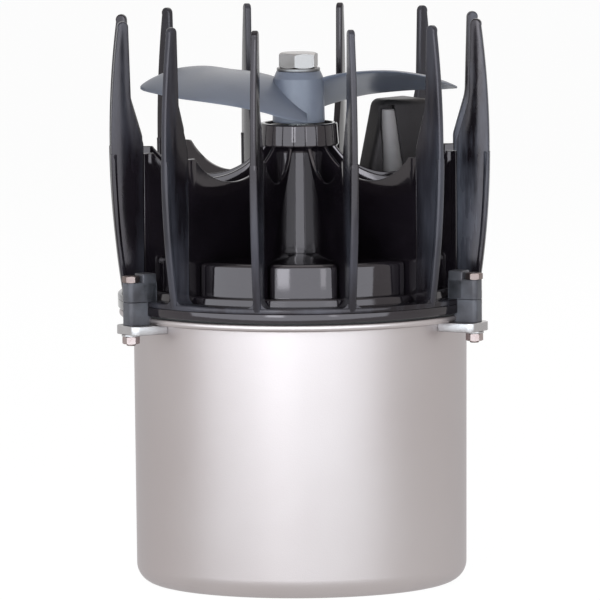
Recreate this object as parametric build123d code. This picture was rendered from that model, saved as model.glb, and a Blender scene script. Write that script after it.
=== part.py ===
from build123d import *
import math
import os

# Water circulator: a sealed motor in a deep-drawn can, a ribbed motor cover with a shaft tower,
# a crown of guard fins, and a two-blade propeller on top of the shaft.
# Millimetres, Z up. The origin is the centre of the can's flat bottom. A bearing is an angle in
# degrees round Z, counted from the front (-Y) towards the right (+X).

# Can
CAN_RADIUS = 88.9
CAN_BOTTOM_RADIUS = 88.1
CAN_CORNER = 10.5
CAN_WALL = 1.2
RIM_RADIUS = 96.5
RIM_BOTTOM = 143.2
RIM_TOP = 147.2
RIM_ROUND = 1.2

# Motor cover
GASKET_THICKNESS = 0.7
FLANGE_RADIUS = 97.3
FLANGE_BOTTOM = RIM_TOP + GASKET_THICKNESS
FLANGE_TOP = 152.7
SPIGOT_RADIUS = 87.2
PLINTH_RADIUS = 84.0
PLINTH_TOP = 159.3
COLUMN_BOTTOM_RADIUS = 14.0
COLUMN_TOP_RADIUS = 12.6
COVER_WALL = 3.4

# Radial ribs and the pockets between them
RIB_COUNT = 12
RIB_STEP = 360 / RIB_COUNT
RIB_THICKNESS = 2.2
RIB_RADIUS = 84.0
RIB_LEDGE_HEIGHT = 231.8
RIB_ARC_RADIUS = 38.0
RIB_ARC_CENTRE = (51.0, 255.6)
POCKET_TOP = 177.2
POCKET_RADIUS = 80.0
POCKET_GAP = 1.8
POCKET_INNER = 17.0
POCKET_CORNER = 3.2
POCKET_ROUND = 2.5

# Seal cup on top of the column
CUP_RADIUS = 20.5
CUP_BASE_RADIUS = 21.4
CUP_INNER_RADIUS = 18.0
CUP_BOTTOM = 233.6
CUP_TOP = 245.7
SEAL_RADIUS = 15.9
SEAL_BOTTOM = 236.0
SEAL_TOP = 242.0

# Guard cage
CAGE_RING_INNER = 86.8
CAGE_RING_TOP = 155.6
FIN_TIP = 302.4
FIN_THICKNESS = 3.4
FIN_BEAD_THICKNESS = 4.4
FIN_BEAD_DEPTH = 3.0
FIN_BEAD_TOP = 231.8
FIN_INNER = 87.0
FIN_BELLY = 104.0
FIN_BELLY_HEIGHT = 230.0
FIN_FOOT_WIDTH = 12.0
FIN_FOOT_HEIGHT = 5.0

# Three bolted ears
EAR_BEARINGS = (-60, 60, 180)
EAR_BOLT_CIRCLE = 105.0
EAR_HALF_WIDTH = 4.4
EAR_SPLIT = CAGE_RING_TOP
EAR_TOP = 166.0
EAR_BLOCK_TOP = 170.5
EAR_BLOCK_INNER = 91.6
EAR_BLOCK_OUTER = 100.0
BAR_THICKNESS = 4.8
BAR_WIDTH = 20.0
BAR_OUTER = 109.4
BOLT_RADIUS = 2.5
BOLT_HOLE_RADIUS = 2.75
BOLT_HEAD_FLATS = 8.0
BOLT_HEAD_HEIGHT = 3.5
WASHER_THICKNESS = 1.0
NUT_HEIGHT = 4.0

# Shaft line
SHAFT_RADIUS = 9.525
SHAFT_CORE_RADIUS = 12.0
SHAFT_BOTTOM = 8.0
SHAFT_TOP = 272.4
BORE_CLEARANCE = 0.075
COLUMN_BORE = 10.3
BEARING_RADIUS = 20.64
BEARING_WIDTH = 11.1
LOWER_BEARING = 11.0
UPPER_BEARING = 126.0

# Propeller
PROP_RADIUS = 85.0
HUB_BOTTOM = 246.0
HUB_TOP = 273.3
HUB_RADIUS = 14.0
HUB_NECK_RADIUS = 13.4
HUB_CAP_RADIUS = 11.7
HUB_CHAMFER_HEIGHT = 4.0
PROP_BOLT_RADIUS = 6.35
PROP_BOLT_FLATS = 19.05
PROP_BOLT_HEAD = 8.0
PROP_WASHER_RADIUS = 11.55
PROP_WASHER_THICKNESS = 1.7

# Cord tower behind and to the right
TOWER_BEARING = 120
TOWER_TOP = 255.6
TOWER_INNER = (30.4, 49.6)
TOWER_OUTER = (79.0, 75.5)
TOWER_SIDE_GAP = 2.2
TOWER_DRAFT = 2.4
TOWER_ROUND = 4.0
BOSS_PLACE = 48.3
BOSS_TOP = 250.6
BOSS_TOP_RADIUS = 2.9
BOSS_FOOT_RADIUS = 12.4
BOSS_FOOT_SHIFT = 6.0
BOSS_GROOVE = 1.1
DUCT_PLACE = 67.0
DUCT_HEIGHT = 50.0
DUCT_BORE = 6.0
GLAND_HEIGHT = 208.0
GLAND_BORE = 4.6
GLAND_THREAD = 6.5
GLAND_FLATS = 20.0
GLAND_LENGTH = 16.0
GLAND_STUB = 4.5

# Motor inside the can
STATOR_RADIUS = 72.0
STATOR_BORE = 40.3
STATOR_BOTTOM = 46.0
STATOR_TOP = 102.0
ROTOR_RADIUS = 39.7
WINDING_INNER = 45.0
WINDING_OUTER = 63.0
WINDING_HEIGHT = 16.0
BELL_CLEARANCE = 0.3
BELL_FLANGE = 80.0
TIE_ROD_RADIUS = 2.4
TIE_ROD_CIRCLE = 76.0
TIE_ROD_TOP = 132.0


def around(shape, bearing):
    """Turns a shape that is drawn along +X to its bearing round the axis."""
    return Rot(0, 0, bearing - 90) * shape


def turned(*points):
    """A body of revolution about Z from a closed outline of (radius, height) points."""
    return revolve(make_face(Plane.XZ * Polyline(*points, close=True)), Axis.Z)


def tube(inner, outer, bottom, top):
    """A plain ring about Z."""
    return turned((inner, bottom), (outer, bottom), (outer, top), (inner, top))


def disc(radius, bottom, top):
    """A plain disc about Z."""
    return Pos(0, 0, bottom) * extrude(Circle(radius), top - bottom)


def radial_plate(outline, thickness):
    """A flat plate that stands on a radius, from a closed curve of (radius, height)."""
    return extrude(make_face(Plane.XZ * outline), thickness / 2, both=True)


def hexagon(flats, bottom, top):
    """A hexagonal prism on the Z axis, measured across its flats."""
    return Pos(0, 0, bottom) * extrude(RegularPolygon(flats / 2, 6, major_radius=False), top - bottom)


def corner(face, x, y):
    """The corner of a flat outline that lies nearest to a point."""
    return min(face.vertices(), key=lambda v: math.hypot(v.X - x, v.Y - y))


def motor_can():
    """Deep-drawn pot: rounded bottom corner, slightly tapered wall, outward rolled rim."""
    inner = CAN_RADIUS - CAN_WALL
    points = (
        (0, 0),
        (CAN_BOTTOM_RADIUS, 0),
        (CAN_RADIUS, RIM_BOTTOM),
        (RIM_RADIUS, RIM_BOTTOM),
        (RIM_RADIUS, RIM_TOP),
        (inner, RIM_TOP),
        (CAN_BOTTOM_RADIUS - CAN_WALL, CAN_WALL),
        (0, CAN_WALL),
    )
    face = make_face(Polyline(*points, close=True))
    face = fillet(corner(face, CAN_BOTTOM_RADIUS, 0), CAN_CORNER)
    face = fillet(corner(face, CAN_BOTTOM_RADIUS - CAN_WALL, CAN_WALL), CAN_CORNER - CAN_WALL)
    face = fillet(corner(face, RIM_RADIUS, RIM_BOTTOM), RIM_ROUND)
    face = fillet(corner(face, RIM_RADIUS, RIM_TOP), RIM_ROUND)
    return revolve(Plane.XZ * face, Axis.Z)


def rib():
    """One radial web of the cover, with a saddle-shaped top edge between the cup and the ledge."""
    centre_r, centre_z = RIB_ARC_CENTRE
    ledge_rise = centre_z - RIB_LEDGE_HEIGHT
    ledge_r = centre_r + math.sqrt(RIB_ARC_RADIUS**2 - ledge_rise**2)
    inner_r = CUP_RADIUS - 1
    inner_z = centre_z - math.sqrt(RIB_ARC_RADIUS**2 - (centre_r - inner_r) ** 2)
    bottom_z = centre_z - RIB_ARC_RADIUS
    root_r = COLUMN_TOP_RADIUS - 1
    outline = Line((root_r, FLANGE_TOP), (RIB_RADIUS, FLANGE_TOP))
    outline += Line((RIB_RADIUS, FLANGE_TOP), (RIB_RADIUS, RIB_LEDGE_HEIGHT))
    outline += Line((RIB_RADIUS, RIB_LEDGE_HEIGHT), (ledge_r, RIB_LEDGE_HEIGHT))
    outline += ThreePointArc((ledge_r, RIB_LEDGE_HEIGHT), (centre_r, bottom_z), (inner_r, inner_z))
    outline += Line((inner_r, inner_z), (inner_r, CUP_BOTTOM + 1))
    outline += Line((inner_r, CUP_BOTTOM + 1), (root_r, CUP_BOTTOM + 1))
    outline += Line((root_r, CUP_BOTTOM + 1), (root_r, FLANGE_TOP))
    return radial_plate(outline, RIB_THICKNESS)


def pocket_outline(inner, outer, gap, round_radius):
    """Plan of a pie-shaped pocket along +X, a gap away from the ribs on both sides."""
    half = math.radians(RIB_STEP / 2)

    def half_width(radius):
        return radius * math.tan(half) - gap / math.cos(half)

    outer_x = outer * math.cos(half)
    start = (inner, half_width(inner))
    end = (outer_x, half_width(outer_x))
    plan = Line((inner, -start[1]), start) + Line(start, end)
    plan += ThreePointArc(end, (outer, 0), (end[0], -end[1]))
    plan += Line((end[0], -end[1]), (inner, -start[1]))
    face = make_face(plan)
    face = fillet(corner(face, *end), round_radius)
    return fillet(corner(face, end[0], -end[1]), round_radius)


def pocket():
    """One raised pocket with a rounded top edge."""
    plan = pocket_outline(POCKET_INNER, POCKET_RADIUS, POCKET_GAP, POCKET_CORNER)
    block = Pos(0, 0, FLANGE_TOP) * extrude(plan, POCKET_TOP - FLANGE_TOP)
    return fillet(block.faces().sort_by(Axis.Z)[-1].edges(), POCKET_ROUND)


def pocket_hollow():
    """The space under one pocket, which leaves an even moulded wall."""
    gap = POCKET_GAP + COVER_WALL
    plan = pocket_outline(POCKET_INNER + 16, POCKET_RADIUS - COVER_WALL, gap, POCKET_CORNER - 1)
    bottom = FLANGE_BOTTOM - 1
    return Pos(0, 0, bottom) * extrude(plan, POCKET_TOP - COVER_WALL - bottom)


def cover_lug():
    """Bolt lug of the cover: a round-ended block that hangs outside the can's rim."""
    lug = ear_block(FLANGE_RADIUS - 4, RIM_BOTTOM, EAR_SPLIT)
    return lug - disc(FLANGE_RADIUS, RIM_BOTTOM - 1, EAR_SPLIT + 1) - ear_hole(RIM_BOTTOM, EAR_SPLIT)


def ear_block(inner, bottom, top):
    """A lug along +X that ends in a half circle round the bolt."""
    width = 2 * EAR_HALF_WIDTH
    length = EAR_BOLT_CIRCLE - inner
    plan = Pos(inner + length / 2, 0) * Rectangle(length, width)
    plan += Pos(EAR_BOLT_CIRCLE, 0) * Circle(EAR_HALF_WIDTH)
    return Pos(0, 0, bottom) * extrude(plan, top - bottom)


def ear_hole(bottom, top):
    """Clearance hole for an ear bolt, run past both faces."""
    hole = extrude(Circle(BOLT_HOLE_RADIUS), top - bottom + 2)
    return Pos(EAR_BOLT_CIRCLE, 0, bottom - 1) * hole


def motor_cover():
    """Base of the cover: flange, spigot into the can, plinth and a ring of hollow pockets."""
    body = turned(
        (COLUMN_BORE, FLANGE_BOTTOM),
        (SPIGOT_RADIUS - 4, FLANGE_BOTTOM),
        (SPIGOT_RADIUS - 4, FLANGE_BOTTOM - 6),
        (SPIGOT_RADIUS, FLANGE_BOTTOM - 6),
        (SPIGOT_RADIUS, FLANGE_BOTTOM),
        (FLANGE_RADIUS, FLANGE_BOTTOM),
        (FLANGE_RADIUS, FLANGE_TOP),
        (PLINTH_RADIUS, FLANGE_TOP),
        (PLINTH_RADIUS, PLINTH_TOP - 0.6),
        (PLINTH_RADIUS - 0.6, PLINTH_TOP),
        (COLUMN_BORE, PLINTH_TOP),
    )
    one_pocket = pocket()
    hollow = pocket_hollow()
    for index in range(RIB_COUNT):
        body += around(one_pocket, index * RIB_STEP)
    for index in range(RIB_COUNT):
        body -= around(hollow, index * RIB_STEP)
    return body - around(Pos(DUCT_PLACE, 0, 0) * disc(DUCT_BORE, POCKET_TOP - 10, POCKET_TOP + 5), TOWER_BEARING)


def shaft_column():
    """Tapered column that carries the shaft seal in a cup on its top."""
    return turned(
        (COLUMN_BORE, PLINTH_TOP),
        (COLUMN_BOTTOM_RADIUS, PLINTH_TOP),
        (COLUMN_TOP_RADIUS, CUP_BOTTOM),
        (CUP_BASE_RADIUS, CUP_BOTTOM),
        (CUP_RADIUS, CUP_TOP),
        (CUP_INNER_RADIUS, CUP_TOP),
        (CUP_INNER_RADIUS, SEAL_TOP),
        (SEAL_RADIUS, SEAL_TOP),
        (SEAL_RADIUS, SEAL_BOTTOM),
        (COLUMN_BORE, SEAL_BOTTOM),
    )


def cover_ribs():
    """The ring of radial webs between the column and the plinth's edge."""
    core = turned(
        (0, PLINTH_TOP - 20),
        (PLINTH_RADIUS + 5, PLINTH_TOP - 20),
        (PLINTH_RADIUS + 5, PLINTH_TOP),
        (COLUMN_BOTTOM_RADIUS, PLINTH_TOP),
        (COLUMN_TOP_RADIUS, CUP_BOTTOM),
        (CUP_BASE_RADIUS, CUP_BOTTOM),
        (CUP_RADIUS, CUP_TOP),
        (0, CUP_TOP),
    )
    one = rib() - core
    return Compound(children=[around(one, (index + 0.5) * RIB_STEP) for index in range(RIB_COUNT)])


def fin_outline():
    """Side view of one guard fin: bellied outer edge, rounded tip, hollowed inner edge."""
    foot = (FLANGE_RADIUS - 0.3, FLANGE_TOP)
    belly = (FIN_BELLY, FIN_BELLY_HEIGHT)
    shoulder = (99.9, FIN_TIP - 4)
    crest = (97.2, FIN_TIP)
    tip_inner = (94.2, FIN_TIP - 3)
    waist = (93.0, 259.0)
    hip = (FIN_INNER, 237.0)
    outline = ThreePointArc(foot, belly, shoulder)
    outline += ThreePointArc(shoulder, crest, tip_inner)
    outline += Line(tip_inner, waist)
    outline += Line(waist, hip)
    outline += Line(hip, (FIN_INNER, FLANGE_TOP))
    outline += Line((FIN_INNER, FLANGE_TOP), foot)
    face = make_face(outline)
    face = fillet(corner(face, *waist), 24)
    return fillet(corner(face, *hip), 9)


def fin():
    """One guard fin, with the wider bead that runs up its outer edge to the step."""
    face = fin_outline()
    blade = extrude(Plane.XZ * face, FIN_THICKNESS / 2, both=True)
    band = Pos(FIN_BELLY, (FIN_BEAD_TOP + FLANGE_TOP) / 2) * Rectangle(40, FIN_BEAD_TOP - FLANGE_TOP)
    bead_face = (face & band) - Pos(-FIN_BEAD_DEPTH, 0) * face
    bead = extrude(Plane.XZ * bead_face, FIN_BEAD_THICKNESS / 2, both=True)
    return blade + bead + fin_foot() - disc(FLANGE_RADIUS + 5, FLANGE_TOP - 10, CAGE_RING_TOP)


def fin_foot():
    """Flared foot that spreads the fin into the cage ring."""
    half = FIN_FOOT_WIDTH / 2
    thin = FIN_THICKNESS / 2
    low = CAGE_RING_TOP - 0.5
    high = CAGE_RING_TOP + FIN_FOOT_HEIGHT
    bend = 0.35
    elbow = (thin + bend * (half - thin), low + bend * (high - low))
    outline = Line((-half, low), (half, low))
    outline += ThreePointArc((half, low), elbow, (thin, high))
    outline += Line((thin, high), (-thin, high))
    outline += ThreePointArc((-thin, high), (-elbow[0], elbow[1]), (-half, low))
    start = FIN_INNER + 1.5
    length = FLANGE_RADIUS - 0.4 - start
    return Pos(start, 0, 0) * extrude(Plane.YZ * make_face(outline), length)


def cage_ear():
    """Bolt ear of the cage: a lower round end for the bolt head and a taller block behind it."""
    lug = ear_block(EAR_BLOCK_INNER, EAR_SPLIT, EAR_TOP)
    length = EAR_BLOCK_OUTER - EAR_BLOCK_INNER
    plan = Pos(EAR_BLOCK_INNER + length / 2, 0) * Rectangle(length, 2 * EAR_HALF_WIDTH)
    block = Pos(0, 0, EAR_SPLIT) * extrude(plan, EAR_BLOCK_TOP - EAR_SPLIT)
    return lug + block - ear_hole(EAR_SPLIT, EAR_TOP)


def guard_cage():
    """Ring of the guard cage with its three bolt ears."""
    body = tube(CAGE_RING_INNER, FLANGE_RADIUS, FLANGE_TOP, CAGE_RING_TOP)
    for bearing in EAR_BEARINGS:
        body += around(cage_ear(), bearing)
    return body


def guard_fins():
    """The crown of guard fins that stands on the cage ring."""
    one = fin()
    return Compound(children=[around(one, (index + 0.5) * RIB_STEP) for index in range(RIB_COUNT)])


def clamp_bar():
    """Stainless bar that grips the can's rim from below, hollowed to the can's wall."""
    inner = CAN_RADIUS - 12
    length = BAR_OUTER - inner
    face = Pos(inner + length / 2, 0) * Rectangle(length, BAR_WIDTH)
    face = fillet(corner(face, BAR_OUTER, BAR_WIDTH / 2), 4)
    face = fillet(corner(face, BAR_OUTER, -BAR_WIDTH / 2), 4)
    face -= Circle(CAN_RADIUS + 0.1)
    bottom = RIM_BOTTOM - BAR_THICKNESS
    bar = Pos(0, 0, bottom) * extrude(face, BAR_THICKNESS)
    return bar - ear_hole(bottom, RIM_BOTTOM)


def ear_bolt():
    """Hexagon-headed bolt down through an ear."""
    end = RIM_BOTTOM - BAR_THICKNESS - WASHER_THICKNESS - NUT_HEIGHT - 1
    head = hexagon(BOLT_HEAD_FLATS, EAR_TOP, EAR_TOP + BOLT_HEAD_HEIGHT)
    cone_top = EAR_TOP + BOLT_HEAD_HEIGHT
    head &= chamfer_cone(BOLT_HEAD_FLATS, cone_top)
    return Pos(EAR_BOLT_CIRCLE, 0, 0) * (head + disc(BOLT_RADIUS, end, EAR_TOP))


def chamfer_cone(flats, top):
    """Cone that turns the top corners of a hexagon head down."""
    across = flats / math.sqrt(3)
    drop = (across - flats / 2) * 0.6
    return turned((0, top - 40), (across + 1, top - 40), (across + 1, top - drop - 0.6), (flats / 2, top), (0, top))


def ear_washer():
    """Flat washer under an ear nut."""
    top = RIM_BOTTOM - BAR_THICKNESS
    return Pos(EAR_BOLT_CIRCLE, 0, 0) * tube(BOLT_HOLE_RADIUS, 5.0, top - WASHER_THICKNESS, top)


def ear_nut():
    """Hexagon nut below the clamp bar."""
    top = RIM_BOTTOM - BAR_THICKNESS - WASHER_THICKNESS
    nut = hexagon(BOLT_HEAD_FLATS, top - NUT_HEIGHT, top) - disc(BOLT_RADIUS, top - NUT_HEIGHT, top)
    return Pos(EAR_BOLT_CIRCLE, 0, 0) * nut


def three(make):
    """A group of three like pieces, one at each ear."""
    return Compound(children=[around(make(), bearing) for bearing in EAR_BEARINGS])


def blade_section(place, front, back, thickness, camber):
    """Thin cambered section of a blade across the span; front and back are (depth, height)."""
    front_y, front_z = -front[0], front[1]
    back_y, back_z = -back[0], back[1]
    slope = math.atan2(back_z - front_z, back_y - front_y)
    normal = (-math.sin(slope), math.cos(slope))
    mid = ((front_y + back_y) / 2, (front_z + back_z) / 2)
    above = camber + thickness / 2
    below = camber - thickness / 2
    upper = (mid[0] + normal[0] * above, mid[1] + normal[1] * above)
    lower = (mid[0] + normal[0] * below, mid[1] + normal[1] * below)
    outline = ThreePointArc((front_y, front_z), upper, (back_y, back_z))
    outline += ThreePointArc((back_y, back_z), lower, (front_y, front_z))
    return Plane((-place, 0, 0), x_dir=(0, 1, 0), z_dir=(1, 0, 0)) * make_face(outline)


def blade():
    """Left-hand blade: wrapped low round the front of the hub, swept back and thinned to its tip."""
    sections = [
        blade_section(-4.0, (19.0, 247.0), (8.0, 252.4), 2.6, 0.2),
        blade_section(8.0, (25.0, 249.8), (-3.0, 267.0), 4.0, 0.8),
        blade_section(20.0, (28.0, 253.6), (-7.5, 271.6), 4.0, 1.4),
        blade_section(35.0, (31.5, 257.1), (-12.0, 273.3), 3.8, 2.1),
        blade_section(50.0, (28.0, 259.2), (-24.5, 274.2), 3.4, 2.4),
        blade_section(65.0, (20.5, 260.8), (-30.0, 272.3), 3.0, 2.0),
        blade_section(76.0, (6.5, 262.1), (-25.5, 268.4), 2.4, 1.6),
        blade_section(82.0, (0.0, 263.1), (-18.0, 265.8), 1.8, 0.5),
        blade_section(PROP_RADIUS - 0.8, (-6.0, 263.8), (-11.0, 264.6), 1.0, 0.1),
    ]
    return loft(sections)


def propeller():
    """Two-blade propeller with a tapered hub."""
    hub = turned(
        (SHAFT_RADIUS, HUB_BOTTOM),
        (HUB_RADIUS, HUB_BOTTOM),
        (HUB_NECK_RADIUS, HUB_TOP - HUB_CHAMFER_HEIGHT),
        (HUB_CAP_RADIUS, HUB_TOP),
        (SHAFT_RADIUS, HUB_TOP),
    )
    one = blade()
    body = hub + one + Rot(0, 0, 180) * one
    body -= disc(SHAFT_RADIUS, HUB_BOTTOM - 2, HUB_TOP + 2)
    return body - disc(60, HUB_BOTTOM - 20, HUB_BOTTOM)


def prop_bolt():
    """Hexagon bolt that holds the propeller down on the shaft."""
    bottom = HUB_TOP + PROP_WASHER_THICKNESS
    head = hexagon(PROP_BOLT_FLATS, bottom, bottom + PROP_BOLT_HEAD)
    head &= chamfer_cone(PROP_BOLT_FLATS, bottom + PROP_BOLT_HEAD)
    return Rot(0, 0, 18) * head + disc(PROP_BOLT_RADIUS, SHAFT_TOP - 26, bottom)


def drive_shaft():
    """Stepped motor shaft with a tapped top end."""
    shaft = turned(
        (0, SHAFT_BOTTOM),
        (SHAFT_RADIUS - 1, SHAFT_BOTTOM),
        (SHAFT_RADIUS, SHAFT_BOTTOM + 1),
        (SHAFT_RADIUS, LOWER_BEARING + BEARING_WIDTH),
        (SHAFT_CORE_RADIUS, LOWER_BEARING + BEARING_WIDTH),
        (SHAFT_CORE_RADIUS, UPPER_BEARING),
        (SHAFT_RADIUS, UPPER_BEARING),
        (SHAFT_RADIUS, SHAFT_TOP),
        (0, SHAFT_TOP),
    )
    return shaft - disc(PROP_BOLT_RADIUS, SHAFT_TOP - 28, SHAFT_TOP + 1)


def bearing_outer(bottom):
    """Outer race of a shielded ball bearing, with its two shields."""
    top = bottom + BEARING_WIDTH
    return turned(
        (13.2, bottom + 0.4),
        (17.4, bottom + 0.4),
        (17.4, bottom),
        (BEARING_RADIUS, bottom),
        (BEARING_RADIUS, top),
        (17.4, top),
        (17.4, top - 0.4),
        (13.2, top - 0.4),
        (13.2, top - 1.2),
        (17.0, top - 1.2),
        (17.0, bottom + 1.2),
        (13.2, bottom + 1.2),
    )


def bearing_inner(bottom):
    """Inner race of a ball bearing, on the shaft."""
    return tube(SHAFT_RADIUS, 12.8, bottom, bottom + BEARING_WIDTH)


def lower_end_bell():
    """Cast plate that stands in the can and carries the lower bearing and the stator."""
    top = LOWER_BEARING + BEARING_WIDTH
    bell = turned(
        (14.0, 4.0),
        (60, 4.0),
        (60, CAN_WALL),
        (68, CAN_WALL),
        (68, 6.0),
        (STATOR_RADIUS + 4, 14.0),
        (STATOR_RADIUS + 4, STATOR_BOTTOM - 4),
        (BELL_FLANGE, STATOR_BOTTOM),
        (BELL_FLANGE, STATOR_BOTTOM + 6),
        (STATOR_RADIUS, STATOR_BOTTOM + 6),
        (STATOR_RADIUS, STATOR_BOTTOM),
        (STATOR_RADIUS - 5, STATOR_BOTTOM),
        (STATOR_RADIUS - 5, 14.0),
        (BEARING_RADIUS + 5, 12.0),
        (BEARING_RADIUS + 5, top),
        (BEARING_RADIUS, top),
        (BEARING_RADIUS, LOWER_BEARING),
        (14.0, LOWER_BEARING),
    )
    return bell - tie_rod_holes()


def upper_end_bell():
    """Cast plate that closes the motor, fits the can's wall and carries the upper bearing."""
    top = UPPER_BEARING + BEARING_WIDTH
    rim = CAN_RADIUS - CAN_WALL - BELL_CLEARANCE
    bell = turned(
        (13.4, UPPER_BEARING - 4),
        (BEARING_RADIUS + 5, UPPER_BEARING - 4),
        (STATOR_RADIUS - 5, UPPER_BEARING - 2),
        (STATOR_RADIUS - 5, STATOR_TOP),
        (STATOR_RADIUS, STATOR_TOP),
        (STATOR_RADIUS, STATOR_TOP - 6),
        (BELL_FLANGE, STATOR_TOP - 6),
        (BELL_FLANGE, TIE_ROD_TOP - 10),
        (rim, TIE_ROD_TOP - 8),
        (rim, TIE_ROD_TOP),
        (BEARING_RADIUS + 14, TIE_ROD_TOP),
        (BEARING_RADIUS + 6, top),
        (BEARING_RADIUS, top),
        (BEARING_RADIUS, UPPER_BEARING),
        (13.4, UPPER_BEARING),
    )
    return bell - tie_rod_holes()


def tie_rod_holes():
    """Four holes for the tie rods, run through both end bells."""
    hole = Pos(TIE_ROD_CIRCLE, 0, 0) * disc(TIE_ROD_RADIUS, STATOR_BOTTOM - 1, TIE_ROD_TOP + 1)
    return Compound(children=[around(hole, index * 90 + 45) for index in range(4)])


def stator_core():
    """Laminated stator ring with winding slots round its bore."""
    core = tube(STATOR_BORE, STATOR_RADIUS, STATOR_BOTTOM, STATOR_TOP)
    slot = Pos(50, 0, STATOR_BOTTOM - 1) * Box(
        21, 9, STATOR_TOP - STATOR_BOTTOM + 2, align=(Align.CENTER, Align.CENTER, Align.MIN)
    )
    for index in range(12):
        core -= around(slot, index * 30)
    return core


def stator_windings():
    """The two rings of wound wire that stand out of the stator's ends."""
    bevel = 4
    rings = []
    for bottom in (STATOR_BOTTOM - WINDING_HEIGHT, STATOR_TOP):
        top = bottom + WINDING_HEIGHT
        ring = turned(
            (WINDING_INNER + bevel, bottom),
            (WINDING_OUTER - bevel, bottom),
            (WINDING_OUTER, bottom + bevel),
            (WINDING_OUTER, top - bevel),
            (WINDING_OUTER - bevel, top),
            (WINDING_INNER + bevel, top),
            (WINDING_INNER, top - bevel),
            (WINDING_INNER, bottom + bevel),
        )
        rings.append(ring)
    return Compound(children=rings)


def tie_rods():
    """Four headed rods that pull the upper end bell down on to the stator and the lower bell."""
    rod = disc(TIE_ROD_RADIUS, STATOR_BOTTOM, TIE_ROD_TOP) + hexagon(8.0, TIE_ROD_TOP, TIE_ROD_TOP + 3.5)
    rod = Pos(TIE_ROD_CIRCLE, 0, 0) * rod
    return Compound(children=[around(rod, index * 90 + 45) for index in range(4)])


def tower_block():
    """Wedge between two ribs, drafted on all sides, with a steeper inner end."""
    half = math.radians(RIB_STEP / 2)
    inner, outer = 26.0, TOWER_OUTER[0]
    near = inner * math.tan(half) - TOWER_SIDE_GAP
    far = outer * math.tan(half) - TOWER_SIDE_GAP
    plan = make_face(Polyline((inner, -near), (outer, -far), (outer, far), (inner, near), close=True))
    height = TOWER_TOP - POCKET_TOP
    wedge = Pos(0, 0, POCKET_TOP) * extrude(plan, height, taper=TOWER_DRAFT)
    side = Polyline(
        (TOWER_INNER[0], POCKET_TOP),
        (TOWER_OUTER[0], POCKET_TOP),
        (TOWER_OUTER[1], TOWER_TOP),
        (TOWER_INNER[1], TOWER_TOP),
        close=True,
    )
    return wedge & extrude(Plane.XZ * make_face(side), 60, both=True)


def cord_tower():
    """Drafted wedge-shaped housing over one pocket, with a round boss in an arched recess."""
    body = tower_block()
    corners = [edge for edge in body.edges() if abs((edge @ 0).Z - (edge @ 1).Z) > 1]
    body = fillet(corners, TOWER_ROUND)
    body = fillet(body.faces().sort_by(Axis.Z)[-1].edges(), TOWER_ROUND - 0.5)
    body -= tower_recess()
    above_pocket = Pos(0, 0, POCKET_TOP + 50) * Box(300, 300, 100)
    body += tower_boss() & above_pocket
    body -= Pos(DUCT_PLACE, 0, POCKET_TOP + DUCT_HEIGHT / 2) * Box(13, 18, DUCT_HEIGHT)
    bore = Pos(DUCT_PLACE, 0, GLAND_HEIGHT) * Rot(0, 90, 0) * extrude(Circle(GLAND_THREAD), 60)
    return around(body - bore, TOWER_BEARING)


def tower_face(depth):
    """Plane on the tower's front side, sunk by a depth, upright and along the rib."""
    lean = RIB_STEP / 2
    half = math.radians(lean)
    lean_in = math.tan(math.radians(TOWER_DRAFT)) * (TOWER_TOP - POCKET_TOP) / 2
    side = BOSS_PLACE * math.tan(half) - TOWER_SIDE_GAP - lean_in
    shift = depth / math.cos(half)
    return Pos(BOSS_PLACE, -(side - shift), 0) * Rot(0, 0, -lean)


def boss_cone(groove):
    """Leaning cone whose front line lies along the drafted side; a groove makes it wider."""
    foot_depth = BOSS_FOOT_RADIUS - 2
    top_depth = BOSS_TOP_RADIUS + 1.1
    foot = Pos(BOSS_FOOT_SHIFT - groove, foot_depth, POCKET_TOP - 1) * Circle(BOSS_FOOT_RADIUS + groove)
    top = Pos(-groove, top_depth, BOSS_TOP + 2 * groove) * Circle(BOSS_TOP_RADIUS + groove)
    return loft([foot, top])


def tower_recess():
    """Groove along the boss, open towards the front side only."""
    slab = Pos(0, -4.5, POCKET_TOP + 40) * Box(60, 21, 100)
    return tower_face(0) * (boss_cone(BOSS_GROOVE) & slab)


def tower_boss():
    """Half-round boss that stands in the recess and widens towards its foot."""
    slab = Pos(0, -4, POCKET_TOP + 40) * Box(60, 22, 100)
    boss = boss_cone(0) & slab
    boss = fillet(boss.faces().sort_by(Axis.Z)[-1].edges(), 0.8)
    return tower_face(0) * boss


def cord_gland():
    """Hexagonal cord gland screwed into the tower's outer face."""
    face_r = gland_face()
    body = extrude(RegularPolygon(GLAND_FLATS / 2, 6, major_radius=False), 7)
    body += Pos(0, 0, 7) * extrude(Circle(8.2), GLAND_LENGTH - 7, taper=6)
    body += Pos(0, 0, -GLAND_STUB) * extrude(Circle(GLAND_THREAD), GLAND_STUB)
    body -= Pos(0, 0, -GLAND_STUB) * extrude(Circle(GLAND_BORE), GLAND_STUB + GLAND_LENGTH)
    return around(Pos(face_r, 0, GLAND_HEIGHT) * Rot(0, 90, 0) * body, TOWER_BEARING)


def gland_face():
    """Radius just outside the tower's outer face at the gland."""
    lowest = GLAND_HEIGHT - GLAND_FLATS / math.sqrt(3)
    share = (lowest - POCKET_TOP) / (TOWER_TOP - POCKET_TOP)
    return TOWER_OUTER[0] + share * (TOWER_OUTER[1] - TOWER_OUTER[0])


def key_way():
    """Square key between shaft and propeller hub, sunk half its height in each."""
    return Pos(SHAFT_RADIUS + 0.4, 0, HUB_BOTTOM + 12) * Box(3.2, 3.2, 16)


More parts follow.
